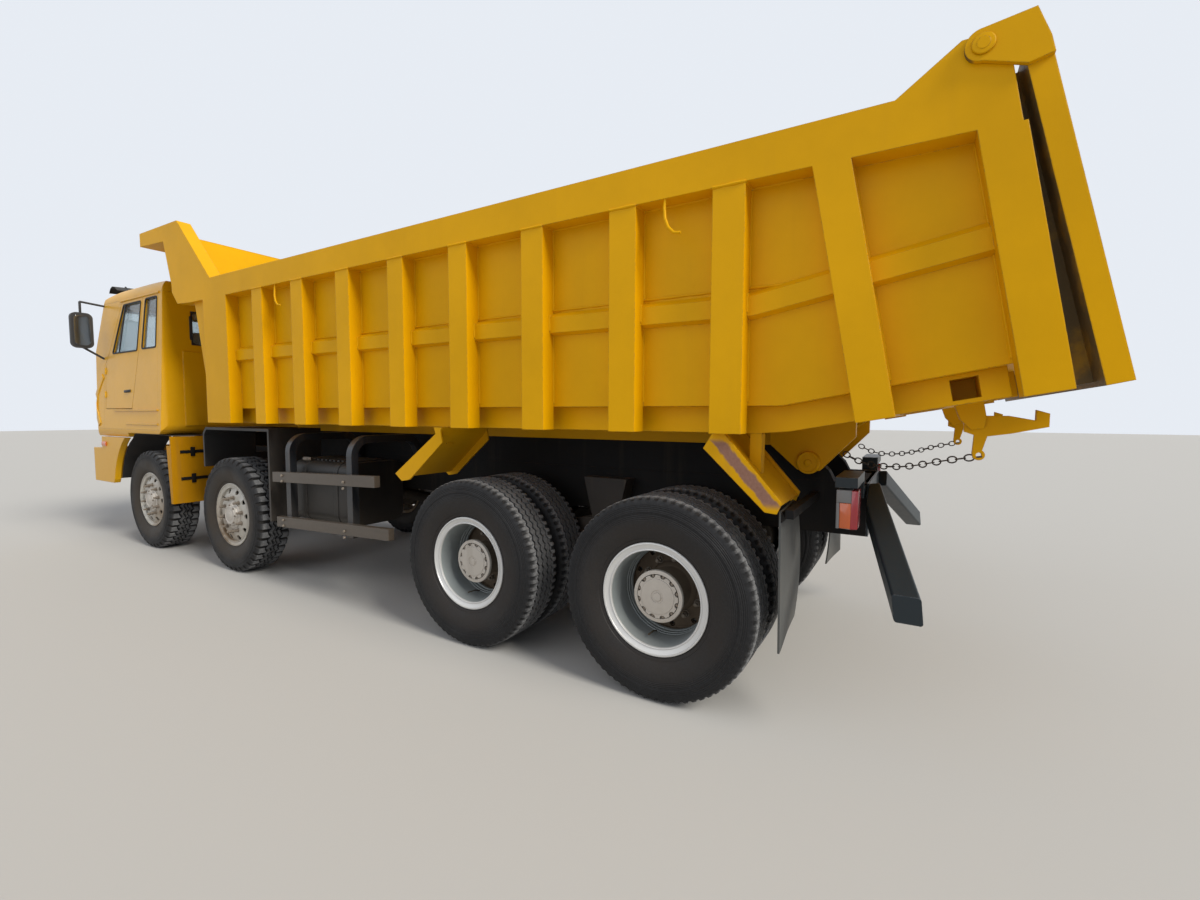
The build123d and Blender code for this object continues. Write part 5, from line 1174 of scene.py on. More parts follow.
def touch(tree, start, aim):
    """Where a line meets a packed surface, and which way that faces."""
    spot, normal, _, _ = tree.ray_cast(Vector(start), Vector(aim).normalized())
    if spot is None:
        raise RuntimeError("nothing to rest on at %s" % (start,))
    return spot, normal if normal.dot(Vector(aim)) < 0 else -normal


def band(shape, points, normals, width, rise, closed=True, mark=0, sink=0.004):
    """Low strip with rounded shoulders that lies on a surface along points."""
    section = [(-0.5, -sink), (-0.5, rise * 0.6), (-0.3, rise), (0.3, rise), (0.5, rise * 0.6), (0.5, -sink)]
    count = len(points)
    rows = []
    for i, (point, normal) in enumerate(zip(points, normals)):
        before = points[(i - 1) % count] if closed or i else point
        after = points[(i + 1) % count] if closed or i < count - 1 else point
        across = (Vector(after) - Vector(before)).cross(normal).normalized()
        rows.append([Vector(point) + across * (a * width) + Vector(normal) * b for a, b in section])
    first = len(shape.verts)
    shape.grid(rows, close_column=closed, mark=mark)
    return shape if closed else shape.ends(first, len(section), count - 1, mark)


def on_side(station, z, side=1, proud=0.0):
    """Point on the cab's leaning side."""
    return Vector((ahead(station), side * (cab_half(z) + proud), z))


def side_normal(side):
    return Vector((0, side * math.cos(math.atan(CAB_LEAN)), math.sin(math.atan(CAB_LEAN))))


DOOR_WINDOW = [(6.388, 2.240), (6.282, 2.780), (6.750, 2.780), (7.072, 2.240)]
QUARTER_WINDOW = [(5.910, 2.250), (5.880, 2.790), (6.165, 2.790), (6.262, 2.250)]


def side_ring(shape, outline, side, width, rise, radius):
    """Seal round an opening in the cab's side."""
    points = [on_side(x, z, side) for x, z in rounded(outline, radius)]
    return band(shape, points, [side_normal(side)] * len(points), width, rise)


def build_door_trim(letter, side):
    """Seal, vent bar and handle on one door."""
    size = bpy.context.scene.truck_trim
    shape = Shape()
    side_ring(shape, DOOR_WINDOW, side, size.seal, 0.006, 0.030)
    normal = side_normal(side)
    bar = [on_side(6.700, 2.775, side), on_side(6.790, 2.510, side), on_side(6.880, 2.245, side)]
    band(shape, bar, [normal] * 3, 0.024, 0.006, closed=False)
    grip = [on_side(6.560, 1.792, side, -0.004), on_side(6.575, 1.790, side, 0.006),
            on_side(6.705, 1.786, side, 0.006), on_side(6.720, 1.784, side, -0.004)]
    band(shape, grip, [normal] * 4, 0.028, 0.010, closed=False, mark=1)
    body = "left_door" if side > 0 else "right_door"
    shape.made("door_trim_" + letter, ["rubber", "trim_black"], body, "trim_black", 40.0)


def build_cab_seals():
    """Seals of the fixed panes, gutters and corner strips."""
    size = bpy.context.scene.truck_trim
    shape = Shape()
    front = skin("cab_front", "cab_glass", "cab_sides")
    rear = skin("cab_rear_wall", "cab_glass")
    for side in (1, -1):
        side_ring(shape, QUARTER_WINDOW, side, size.seal, 0.006, 0.030)
        normal = side_normal(side)
        gutter = [on_side(s, 2.826, side) for s in (5.82, 6.15, 6.50, 6.83)]
        band(shape, gutter, [normal] * 4, 0.020, 0.012, closed=False, mark=1)
        strip = [touch(front, (ahead(s), side * 2, z), (0, -side, 0))
                 for s, z in ((7.36, 1.985), (7.43, 1.910), (7.50, 1.835), (7.555, 1.755), (7.575, 1.665),
                              (7.565, 1.575), (7.520, 1.485), (7.460, 1.395))]
        band(shape, [p for p, n in strip], [n for p, n in strip], 0.075, 0.010, closed=False, mark=1)
    pane = rounded([(-0.900, 2.290), (-0.900, 2.660), (0.900, 2.660), (0.900, 2.290)], 0.07)
    spots = [touch(rear, (ahead(5.0), y, z), (1, 0, 0)) for y, z in pane]
    band(shape, [p for p, n in spots], [n for p, n in spots], 0.030, 0.008)
    edge = rounded([(-1.000, 2.125), (-1.000, 2.795), (1.000, 2.795), (1.000, 2.125)], 0.08)
    screen = []
    for i, (y, z) in enumerate(edge):
        nexty, nextz = edge[(i + 1) % len(edge)]
        cuts = max(1, int(math.hypot(nexty - y, nextz - z) / 0.08))
        screen += [(y + (nexty - y) * k / cuts, z + (nextz - z) * k / cuts) for k in range(cuts)]
    spots = [touch(front, (ahead(8.4), y, z), (-1, 0, 0)) for y, z in screen]
    rims = [Vector((max(p.x for p, n in spots[max(0, i - 1):i + 2]), p.y, p.z)) for i, (p, n) in enumerate(spots)]
    band(shape, rims, [n for p, n in spots], 0.030, 0.006, sink=0.014)
    shape.made("cab_seals", ["rubber", "cab_yellow"], "cab", "trim_black", 40.0)


def build_cab_front():
    """Wipers, sun visor on its brackets, roof horn and corner lamps."""
    front = skin("cab_front", "cab_glass", "cab_roof", "cab_sides")
    bumper = skin("front_bumper")
    shape = Shape()
    for y in (0.62, -0.28):
        foot, lean = touch(front, (ahead(8.4), y, 2.075), (-1, 0, 0))
        tip, out = touch(front, (ahead(8.4), y - 0.34, 2.330), (-1, 0, 0))
        shape.tube([foot, foot + lean * 0.018, foot.lerp(tip, 0.5) + out * 0.030, tip + out * 0.022], 0.006)
        blade = [touch(front, (ahead(8.4), y - 0.34 + 0.30 * k, 2.330 - 0.14 * k), (-1, 0, 0)) for k in (-1, 0, 1)]
        band(shape, [p + n * 0.006 for p, n in blade], [n for p, n in blade], 0.012, 0.016, closed=False)
    # Sheet of the visor, which stands forward of the roof and above it on brackets
    line = [(7.350, 3.072), (7.430, 3.118), (7.500, 3.132), (7.560, 3.110), (7.600, 3.060)]
    steps, half = 12, 1.02
    rows = []
    for i in range(steps + 1):
        y = -half + 2 * half * i / steps
        drop = 0.030 * (y / half) ** 4
        there = [Vector((ahead(s) - drop, y, z - drop)) for s, z in line]
        back = [Vector((ahead(s) - drop - 0.003, y, z - drop - 0.005)) for s, z in reversed(line)]
        rows.append(there + back)
    first = len(shape.verts)
    shape.grid(rows).ends(first, 2 * len(line), steps)
    for y in (-0.90, -0.30, 0.30, 0.90):
        spot, normal = touch(front, (ahead(7.200), y, 3.4), (0, 0, -1))
        shape.tube([spot - normal * 0.010, Vector((ahead(7.290), y, 3.030)), Vector((ahead(7.430), y, 3.110))], 0.010)
    foot, normal = touch(front, (ahead(6.98), 0.80, 3.4), (0, 0, -1))
    horn = [(0.000, -0.10), (0.012, -0.10), (0.014, 0.02), (0.020, 0.07), (0.034, 0.11), (0.036, 0.115),
            (0.030, 0.113), (0.012, 0.06), (0.000, 0.05)]
    rows = [[(foot.x + 0.16 + d, 0.80 + r * math.cos(a), foot.z + 0.055 + r * math.sin(a)) for r, d in horn]
            for a in [2 * math.pi * k / 20 for k in range(20)]]
    shape.grid(rows, close_row=False, close_column=True)
    shape.tube([foot - normal * 0.008, foot + Vector((0.03, 0, 0.055)), foot + Vector((0.10, 0, 0.055))], 0.010)
    for side in (1, -1):
        spots = [touch(bumper, (ahead(s), side * 2, 1.165), (0, -side, 0)) for s in (7.27, 7.33, 7.39)]
        band(shape, [p for p, n in spots], [n for p, n in spots], 0.052, 0.014, closed=False, mark=1)
    shape.made("cab_front_trim", ["trim_black", "lens_amber"], "cab", "trim_black", 40.0)


def build_grille():
    """Upright fins in the grille's slots."""
    size = bpy.context.scene.truck_trim
    front = skin("cab_front")
    fins = int(1.36 / size.slat_gap)
    runs = []
    for i in range(5):
        z = 1.5225 + 0.085 * i
        spot, normal = touch(front, (ahead(8.4), 0.0, z), (-1, 0, 0))
        values = {"Count": fins, "Start": (spot.x + 0.008, -0.68, z), "Step": (0, 1.36 / (fins - 1), 0),
                  "Size": (0.018, 0.006, 0.047), "Material": FINISHES["trim_black"]}
        runs.append(("Slat Row", values, [Matrix.Identity(4)]))
    from_tree("grille_fins", runs, "cab")


def build_mirror_glass():
    shape = Shape()
    x = ahead(7.330) - 0.035
    for side in (1, -1):
        for low, high, mark, grow in ((x - 0.004, x + 0.006, 1, 0.0), (x - 0.006, x - 0.003, 0, -0.012)):
            outline = rounded([(side * (1.285 - grow), 2.320 - grow), (side * (1.285 - grow), 2.690 + grow),
                               (side * (1.455 + grow), 2.690 + grow), (side * (1.455 + grow), 2.320 - grow)], 0.055)
            shape.plate([tuple(p) for p in outline], low, high, "x", mark)
    shape.made("mirror_panes", ["mirror", "rubber"], "cab", "trim_black", 30.0)


def pad(name, low, high, lean=0.0, upright=False, channels=(-0.42, 0.42)):
    """Cushion inside a box: crowned, pulled in at the sides, with sewn channels and a welt."""
    half = [(b - a) / 2 for a, b in zip(low, high)]
    centre = Vector([(a + b) / 2 for a, b in zip(low, high)])
    face = 0 if upright else 2
    work = bmesh.new()
    bmesh.ops.create_cube(work, size=2.0)
    bmesh.ops.subdivide_edges(work, edges=work.edges, cuts=17, use_grid_fill=True)
    for v in work.verts:
        unit = list(v.co)
        other = [i for i in range(3) if i != face]
        spread = (1 - unit[other[0]] ** 4) * (1 - unit[other[1]] ** 4)
        ball = Vector(unit).normalized()
        soft = [u * 0.86 + b * 0.14 * 1.35 for u, b in zip(unit, ball)]
        crown = 1.0 if unit[face] > 0 else 0.25
        swell = unit[face] * (0.78 + 0.22 * spread * crown)
        for channel in channels:
            swell -= 0.10 * math.exp(-((unit[1] - channel) / 0.045) ** 2) * max(0.0, unit[face]) * spread
        soft[face] = swell
        pull = 1 - 0.05 * (1 - abs(unit[other[1]]) ** 3) * (1 - abs(unit[face]) ** 2)
        soft[other[0]] *= pull
        seam = 0.018 * math.exp(-((unit[face] - 0.55) / 0.10) ** 2)
        for i in other:
            if abs(unit[i]) > 0.98:
                soft[i] -= math.copysign(seam, unit[i])
        v.co = Vector([max(-1.0, min(1.0, s)) * h for s, h in zip(soft, half)])
        if lean:
            v.co.x -= (v.co.z + half[2]) * lean
    mesh = bpy.data.meshes.new(name)
    work.to_mesh(mesh)
    work.free()
    mesh.transform(Matrix.Translation(centre))
    mesh.materials.append(FINISHES["cloth"])
    tidy(mesh, 60.0, 1e-7)
    piece = placed(bpy.data.objects.new(name, mesh), "cab", 60.0, replaces=["seats"])
    return piece


def build_seats():
    x = ahead(6.080)
    base = Shape()
    for letter, y in (("l", 0.56), ("r", -0.56)):
        pad("seat_cushion_" + letter, (x + 0.004, y - 0.226, 1.712), (x + 0.516, y + 0.226, 1.828))
        pad("seat_back_" + letter, (x + 0.004, y - 0.216, 1.832), (x + 0.106, y + 0.216, 2.466), 0.135, True)
        base.box((x + 0.062, y - 0.178, 1.352), (x + 0.438, y + 0.178, 1.400))
        base.box((x + 0.120, y - 0.130, 1.400), (x + 0.400, y + 0.130, 1.620))
        base.box((x + 0.062, y - 0.178, 1.620), (x + 0.438, y + 0.178, 1.712))
    base.made("seat_bases", ["trim_black"], "cab", "trim_black", 35.0, bevel=0.008, replaces=["seats"])


RIDGE_Z = 2.095
RIDGE_OUT = PANEL_OUT + 0.040
LEANING = [0.309, 0.880]


def bead(shape, start, end, radius):
    """Weld run in a corner: a bar whose thickness ripples from tack to tack."""
    start, end = Vector(start), Vector(end)
    count = max(3, int((end - start).length / 0.045))
    along = (end - start).normalized()
    normal = along.orthogonal().normalized()
    across = along.cross(normal)
    rows = []
    for i in range(count + 1):
        middle = start.lerp(end, i / count)
        r = radius * (1.0 + 0.22 * math.sin(i * 2.3) + 0.12 * math.sin(i * 0.7))
        rows.append([middle + (normal * math.cos(t) + across * math.sin(t)) * r
                     for t in [math.pi * k / 3 for k in range(6)]])
    first = len(shape.verts)
    return shape.grid(rows).ends(first, 6, count)


def build_welds():
    """Beads where posts, ridge and rail meet the panels."""
    size = bpy.context.scene.truck_trim
    shape = Shape()
    r = size.weld
    for place in POST_PLACES:
        for x in (ahead(place) - POST_W, ahead(place)):
            bead(shape, (x, PANEL_OUT, FLOOR_LOW + 0.02), (x, PANEL_OUT, RIDGE_Z - 0.085), r)
            bead(shape, (x, PANEL_OUT, RIDGE_Z + 0.052), (x, PANEL_OUT, RAIL_LOW), r)
            bead(shape, (x, RIDGE_OUT, RIDGE_Z - 0.070), (x, RIDGE_OUT, RIDGE_Z + 0.020), r)
            bead(shape, (x, BED_HALF - 0.002, RAIL_LOW), (x, PANEL_OUT, RAIL_LOW), r)
        bead(shape, (ahead(place) - POST_W, BED_HALF, RAIL_LOW), (ahead(place), BED_HALF, RAIL_LOW), r)
    for s in LEANING:
        for edge in (s, s + POST_W - 0.005):
            low, high = tail(edge, 0.02), tail_at(edge, RAIL_LOW)
            bead(shape, (low[0], PANEL_OUT, low[1]), (high[0], PANEL_OUT, high[1]), r)
    edges = [ahead(4.230)] + [x for p in POST_PLACES for x in (ahead(p), ahead(p) - POST_W)] + [ahead(-0.700)]
    for start, end in zip(edges[0::2], edges[1::2]):
        bead(shape, (start, PANEL_OUT, RAIL_LOW), (end, PANEL_OUT, RAIL_LOW), r)
        bead(shape, (start, PANEL_OUT, RIDGE_Z + 0.051), (end, PANEL_OUT, RIDGE_Z + 0.051), r)
    shape.mirrored()
    shape.made("bed_welds", ["bed_yellow"], "bed", "body_yellow", 60.0)


def build_rope_hooks():
    """Bent bar hooks under the rail for the load cover's rope."""
    shape = Shape()
    for x in (0.450, -3.050):
        y = BED_HALF - 0.012
        shape.tube([(x, y, 2.612), (x + 0.004, y + 0.004, 2.565), (x - 0.002, y + 0.010, 2.510),
                    (x - 0.022, y + 0.014, 2.462), (x - 0.052, y + 0.014, 2.432), (x - 0.086, y + 0.012, 2.428)],
                   0.008, 8)
    shape.mirrored()
    shape.made("rope_hooks", ["bed_yellow"], "bed", "body_yellow", 50.0)


def build_pin_caps():
    """Washers and ends of the gate pins, and covers of the tipping shaft."""
    shape = Shape()
    shape.lathe([(0.000, 1.2740), (0.036, 1.2740), (0.038, 1.2755), (0.036, 1.2795), (0.020, 1.2815), (0.000, 1.2818)],
                -4.322, 2.900, 24)
    shape.lathe([(0.000, 0.5258), (0.044, 0.5258), (0.046, 0.5060), (0.064, 0.5060), (0.066, 0.5090),
                 (0.064, 0.5260), (0.060, 0.5325), (0.052, 0.5325), (0.048, 0.5285), (0.019, 0.5285),
                 (0.018, 0.5340), (0.012, 0.5360), (0.000, 0.5360)],
                -3.635, 1.270, 48, mark=0)
    shape.mirrored()
    shape.made("pin_caps", ["bed_yellow"], "bed", "body_yellow", 35.0)


# Left catch chain's slack run, from the lever's eye to the keel
CHAIN_ROUTE = [(-4.411, 0.750, 1.352), (-4.306, 0.722, 1.334), (-4.177, 0.635, 1.293), (-4.103, 0.585, 1.276),
               (-4.014, 0.530, 1.269), (-3.902, 0.475, 1.277), (-3.829, 0.464, 1.321)]


def build_chains():
    """Slack chain on each side from the catch lever forward to the bed's keel."""
    size = bpy.context.scene.truck_trim
    values = {"Pitch": size.chain_pitch, "Wire": size.chain_wire, "Width": 0.030, "Material": FINISHES["chain"]}
    runs = []
    for side in (1, -1):
        points = [(x, side * y, z) for x, y, z in CHAIN_ROUTE]
        runs.append(("Chain", values, [Matrix.Identity(4)], points))
    from_tree("catch_chains", runs, "bed", 60.0)


def build_lamps():
    """Tail lamps in three colours and the clear lamps in the bumper."""
    shape = Shape()
    shape.box((-3.9040, 0.7925, 1.1160), (-3.8370, 0.9285, 1.1780), 0)
    shape.box((-3.8520, 0.7950, 0.9880), (-3.8370, 0.9280, 1.1160), 0)
    shape.box((-3.9040, 0.7960, 0.9900), (-3.8520, 0.9270, 1.1150), 1)
    shape.box((-3.9340, 0.7960, 0.9900), (-3.9040, 0.9270, 1.1770), 2)
    for y in (0.818, 0.884):
        rim = [(y + 0.056 * math.cos(math.pi * k / 16), 0.995 + 0.056 * math.sin(math.pi * k / 16)) for k in range(32)]
        lens = [(y + 0.047 * math.cos(math.pi * k / 16), 0.995 + 0.047 * math.sin(math.pi * k / 16))
                for k in range(32)]
        if y > 0.85:
            rim = [(a + 0.060, b) for a, b in rim]
            lens = [(a + 0.060, b) for a, b in lens]
        shape.plate(rim, 4.742, 4.776, "x", 0)
        shape.plate(lens, 4.770, 4.788, "x", 3)
    shape.box((4.7405, 0.752, 0.932), (4.7560, 1.008, 1.058), 0)
    shape.mirrored()
    shape.made("lamp_set", ["grey_plastic", "lens_amber", "lens_red", "lens_clear"], "chassis", "lamp_glass", 35.0,
               bevel=0.003, replaces=["lamps"])


def flap_x(y, z):
    """Place of the bent flap: its inner edge stands forward at the top and the bottom."""
    t = (z - 0.40) / 0.685
    u = (1.170 - y) / 0.550
    outer = -3.6285 + 0.005 * t
    inner = -3.6180 + 0.024 * (2 * t - 1) ** 2
    return outer + (inner - outer) * u ** 1.3 + 0.004 * math.sin(9 * y) * (1 - t)


def build_flaps():
    """Bent rubber flaps under a clamp strip."""
    shape = Shape()
    rows = []
    ys = [0.620 + 0.550 * i / 14 for i in range(15)]
    for z in [0.400 + 0.685 * k / 18 for k in range(19)]:
        low = z if z > 0.401 else 0.401
        rows.append([(flap_x(y, low) + 0.005, y, low) for y in ys] + [(flap_x(y, low) - 0.005, y, low)
                                                                        for y in reversed(ys)])
    start = len(shape.verts)
    shape.grid(rows)
    n = len(rows[0])
    half = n // 2
    for base in (start, start + 18 * n):
        for k in range(half - 1):
            shape.faces.append((base + k, base + k + 1, base + n - 2 - k, base + n - 1 - k))
            shape.marks.append(0)
    strip = [(flap_x(y, 1.060) - 0.0045, y) for y in ys]
    for (x0, y0), (x1, y1) in zip(strip, strip[1:]):
        shape.take([(x0, y0, 1.035), (x1, y1, 1.035), (x1, y1, 1.083), (x0, y0, 1.083),
                    (x0 - 0.006, y0, 1.035), (x1 - 0.006, y1, 1.035), (x1 - 0.006, y1, 1.083),
                    (x0 - 0.006, y0, 1.083)],
                   [(0, 1, 2, 3), (7, 6, 5, 4), (0, 4, 5, 1), (3, 2, 6, 7), (0, 3, 7, 4), (1, 5, 6, 2)], 1)
    shape.mirrored()
    shape.made("flap_set", ["flap", "frame_black"], "chassis", "flap_rubber", 40.0, replaces=["mud_flaps"])


def build_fasteners():
    """Bolts on the guards and flap strips."""
    bolt = {"Material": FINISHES["nut_steel"], "Radius": 0.011, "Height": 0.010, "Sides": 6, "Crown": 0.95}
    runs = []
    for side in (1, -1):
        for x in (-0.350, 0.500):
            values = dict(bolt, Count=2, Start=(0, 0, 0), Step=(0, 0.050 * side, 0))
            runs.append(("Rivet Row", values, [facing_y(x, side * 1.2125, 1.010, side)]))
            runs.append(("Rivet Row", values, [facing_y(x, side * 1.2125, 0.625, side)]))
        turn = Matrix.Rotation(-math.pi / 2, 4, "Y")
        for y in (0.680, 0.820, 0.960, 1.100):
            values = dict(bolt, Count=1, Start=(0, 0, 0), Step=(0, 0, 0))
            runs.append(("Rivet Row", values, [Matrix.Translation((flap_x(y, 1.06) - 0.013, side * y, 1.059)) @ turn]))
    from_tree("frame_fasteners", runs, "chassis")


def build_spring_bolts():
    """U-bolts over the springs with their plates."""
    shape = Shape()
    middle = (AXLE_X[3] + AXLE_X[4]) / 2
    for x, y, half, low, top in ((AXLE_X[1], 0.385, 0.044, 0.535, 0.712), (AXLE_X[2], 0.385, 0.044, 0.535, 0.712),
                                 (middle, 0.500, 0.054, 0.655, 0.828)):
        for dx in (-0.070, 0.070):
            shape.tube([(x + dx, y - half, low), (x + dx, y - half, top - 0.016), (x + dx, y - half + 0.014, top),
                        (x + dx, y + half - 0.014, top), (x + dx, y + half, top - 0.016), (x + dx, y + half, low)],
                       0.009)
        shape.box((x - 0.090, y - half - 0.016, low - 0.004), (x + 0.090, y + half + 0.016, low + 0.014))
    shape.mirrored()
    shape.made("spring_bolts", ["spring"], "chassis", "spring_steel", 40.0)


def build_tank_trim():
    """Ribbed step over the tank and its filler cap."""
    shape = Shape()
    for i in range(13):
        x = -0.10 + 0.058 * i
        band(shape, [Vector((x, 0.640, 1.131)), Vector((x, 0.800, 1.131)), Vector((x, 0.970, 1.131))],
             [Vector((0, 0, 1))] * 3, 0.028, 0.012, closed=False)
    cap = [(0.000, 0.0), (0.048, 0.0), (0.050, 0.004), (0.050, 0.020), (0.044, 0.028), (0.020, 0.030), (0.000, 0.030)]
    rows = []
    for k in range(24):
        a = 2 * math.pi * k / 24
        grip = 1.0 + 0.05 * math.cos(12 * a)
        rows.append([(0.480 + r * grip * math.cos(a), 1.000 + r * grip * math.sin(a) * 0.4, 1.128 + h)
                     for r, h in cap])
    shape.grid(rows, close_row=False, close_column=True, mark=1)
    shape.made("tank_trim", ["trim_black", "nut_steel"], "chassis", "tank_metal", 40.0)


def build_arch_shade_sheets():
    """Black sheets that close the wheel arch over the first wheels, standing in for the shade there: painted shade."""
    shape = Shape()
    line = [(5.600, 1.297), (5.720, 1.300), (6.000, 1.303), (6.600, 1.303), (6.650, 1.290), (6.690, 1.250),
            (6.800, 1.185), (6.900, 1.100), (6.975, 0.990), (7.035, 0.860), (7.070, 0.760)]
    there = [(ahead(s), z) for s, z in line]
    back = [(ahead(s) - 0.003, z - 0.005) for s, z in reversed(line)]
    count = len(there)
    verts = [(x, y, z) for y in (0.780, 1.150) for x, z in there + back]
    total = 2 * count
    faces = [(i, (i + 1) % total, total + (i + 1) % total, total + i) for i in range(total)]
    faces += [(base + i, base + i + 1, base + total - 2 - i, base + total - 1 - i)
              for base in (0, total) for i in range(count - 1)]
    shape.take(verts, faces)
    shape.mirrored()
    # Black sheet where only shade is seen under the cab: painted shade
    shape.made("arch_shade_sheets", ["trim_black"], "chassis", "trim_black", 35.0)


def build_mudguard_straps():
    """Flat straps and their cross plates on the rear of the front mudguards."""
    shape = Shape()
    x = 2.6145
    for z in (1.124, 0.835):
        shape.box((x - 0.010, 0.790, z - 0.016), (x, 1.120, z + 0.016))
        shape.box((x - 0.018, 0.985, z - 0.050), (x - 0.006, 1.025, z + 0.050))
    shape.mirrored()
    shape.made("mudguard_straps", ["frame_black"], "chassis", "frame_black", 35.0, bevel=0.002)


class TRUCK_OT_finishes(bpy.types.Operator):
    """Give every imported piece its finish"""
    bl_idname = "truck.finishes"
    bl_label = "Finishes"

    def execute(self, context):
        make_finishes()
        for finish, names in NODE_FINISH.items():
            for name in names:
                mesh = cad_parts[name].data
                mesh.materials.clear()
                mesh.materials.append(FINISHES[finish])
        for make in (make_ring_tree, make_row_tree, make_slat_tree, make_chain_tree):
            make()
        return {"FINISHED"}


class TRUCK_OT_tyres(bpy.types.Operator):
    """Build the front block tyres and the rear rib tyres"""
    bl_idname = "truck.tyres"
    bl_label = "Tyres"

    def execute(self, context):
        for number, x in AXLE_X.items():
            for letter, side in SIDES:
                places = [FRONT_Y] if number < 3 else [REAR_OUT_Y, REAR_IN_Y]
                name = "%d%s" % (number, letter)
                build_tyre("tread_" + name, x, places, side, number < 3, "wheel_" + name, "tyre_" + name)
        return {"FINISHED"}


class TRUCK_OT_rims(bpy.types.Operator):
    """Build rims, hubs, nuts and cap bolts"""
    bl_idname = "truck.rims"
    bl_label = "Rims"

    def execute(self, context):
        for number in AXLE_X:
            for letter, side in SIDES:
                if number < 3:
                    build_front_rim(number, letter, side)
                else:
                    build_rear_rim(number, letter, side)
                build_nuts(number, letter, side)
        return {"FINISHED"}


class TRUCK_OT_seats(bpy.types.Operator):
    """Build the padded seats and their bases"""
    bl_idname = "truck.seats"
    bl_label = "Seats"

    def execute(self, context):
        build_seats()
        return {"FINISHED"}


class TRUCK_OT_door_trim(bpy.types.Operator):
    """Build the doors' seals, vent bars and handles"""
    bl_idname = "truck.door_trim"
    bl_label = "Door Trim"

    def execute(self, context):
        for letter, side in SIDES:
            build_door_trim(letter, side)
        return {"FINISHED"}


class TRUCK_OT_cab_seals(bpy.types.Operator):
    """Build the window seals, gutters and corner strips of the cab"""
    bl_idname = "truck.cab_seals"
    bl_label = "Cab Seals"

    def execute(self, context):
        build_cab_seals()
        return {"FINISHED"}


class TRUCK_OT_cab_front_trim(bpy.types.Operator):
    """Build the wipers, visor, roof horn and corner lamps"""
    bl_idname = "truck.cab_front_trim"
    bl_label = "Cab Front Trim"

    def execute(self, context):
        build_cab_front()
        return {"FINISHED"}


class TRUCK_OT_grille(bpy.types.Operator):
    """Build the grille's fins"""
    bl_idname = "truck.grille"
    bl_label = "Grille"

    def execute(self, context):
        build_grille()
        return {"FINISHED"}


class TRUCK_OT_mirror_panes(bpy.types.Operator):
    """Build the panes of the mirrors"""
    bl_idname = "truck.mirror_panes"
    bl_label = "Mirror Panes"

    def execute(self, context):
        build_mirror_glass()
        return {"FINISHED"}


class TRUCK_OT_welds(bpy.types.Operator):
    """Build the weld beads of the bed"""
    bl_idname = "truck.welds"
    bl_label = "Welds"

    def execute(self, context):
        build_welds()
        return {"FINISHED"}


class TRUCK_OT_rope_hooks(bpy.types.Operator):
    """Build the rope hooks below the rails"""
    bl_idname = "truck.rope_hooks"
    bl_label = "Rope Hooks"

    def execute(self, context):
        build_rope_hooks()
        return {"FINISHED"}


class TRUCK_OT_pin_caps(bpy.types.Operator):
    """Build the caps of the gate pins and the bed's pivots"""
    bl_idname = "truck.pin_caps"
    bl_label = "Pin Caps"

    def execute(self, context):
        build_pin_caps()
        return {"FINISHED"}


class TRUCK_OT_chains(bpy.types.Operator):
    """Build the slack catch chains"""
    bl_idname = "truck.chains"
    bl_label = "Chains"

    def execute(self, context):
        build_chains()
        return {"FINISHED"}


class TRUCK_OT_lamps(bpy.types.Operator):
    """Build the tail lamps and the bumper lamps"""
    bl_idname = "truck.lamps"
    bl_label = "Lamps"

    def execute(self, context):
        build_lamps()
        return {"FINISHED"}


class TRUCK_OT_flaps(bpy.types.Operator):
    """Build the rubber flaps and their clamp strips"""
    bl_idname = "truck.flaps"
    bl_label = "Mud Flaps"

    def execute(self, context):
        build_flaps()
        return {"FINISHED"}


class TRUCK_OT_fasteners(bpy.types.Operator):
    """Build the bolts of the guards and the flaps"""
    bl_idname = "truck.fasteners"
    bl_label = "Fasteners"

    def execute(self, context):
        build_fasteners()
        return {"FINISHED"}


class TRUCK_OT_spring_bolts(bpy.types.Operator):
    """Build the bolts over the springs"""
    bl_idname = "truck.spring_bolts"
    bl_label = "Spring Bolts"

    def execute(self, context):
        build_spring_bolts()
        return {"FINISHED"}


class TRUCK_OT_tank_trim(bpy.types.Operator):
    """Build the tank's ribbed step and filler cap"""
    bl_idname = "truck.tank_trim"
    bl_label = "Tank Trim"

    def execute(self, context):
        build_tank_trim()
        return {"FINISHED"}


class TRUCK_OT_arch_shade_sheets(bpy.types.Operator):
    """Build the black sheets of painted shade over the first wheels"""
    bl_idname = "truck.arch_liners"
    bl_label = "Arch Shade Sheets"

    def execute(self, context):
        build_arch_shade_sheets()
        return {"FINISHED"}


class TRUCK_OT_mudguard_straps(bpy.types.Operator):
    """Build the straps on the front mudguards"""
    bl_idname = "truck.mudguard_straps"
    bl_label = "Mudguard Straps"

    def execute(self, context):
        build_mudguard_straps()
        return {"FINISHED"}


# The photo's camera: place in metres, heading, rise and roll in degrees, and focal length on a 36 mm sensor
CAMERA_PLACE = (-4.1659, 3.7523, 1.5407)
CAMERA_TURN = (-59.3794, -3.7922, 0.2074)
CAMERA_LENS = 16.0793


def sun(name, toward, strength, spread, colour):
    """Broad lamp that shines from a direction."""
    lamp = bpy.data.lights.new(name, "SUN")
    lamp.energy = strength
    lamp.angle = math.radians(spread)
    lamp.color = colour
    stand = bpy.data.objects.new(name, lamp)
    bpy.context.scene.collection.objects.link(stand)
    stand.rotation_euler = (-Vector(toward)).to_track_quat("-Z", "Y").to_euler()


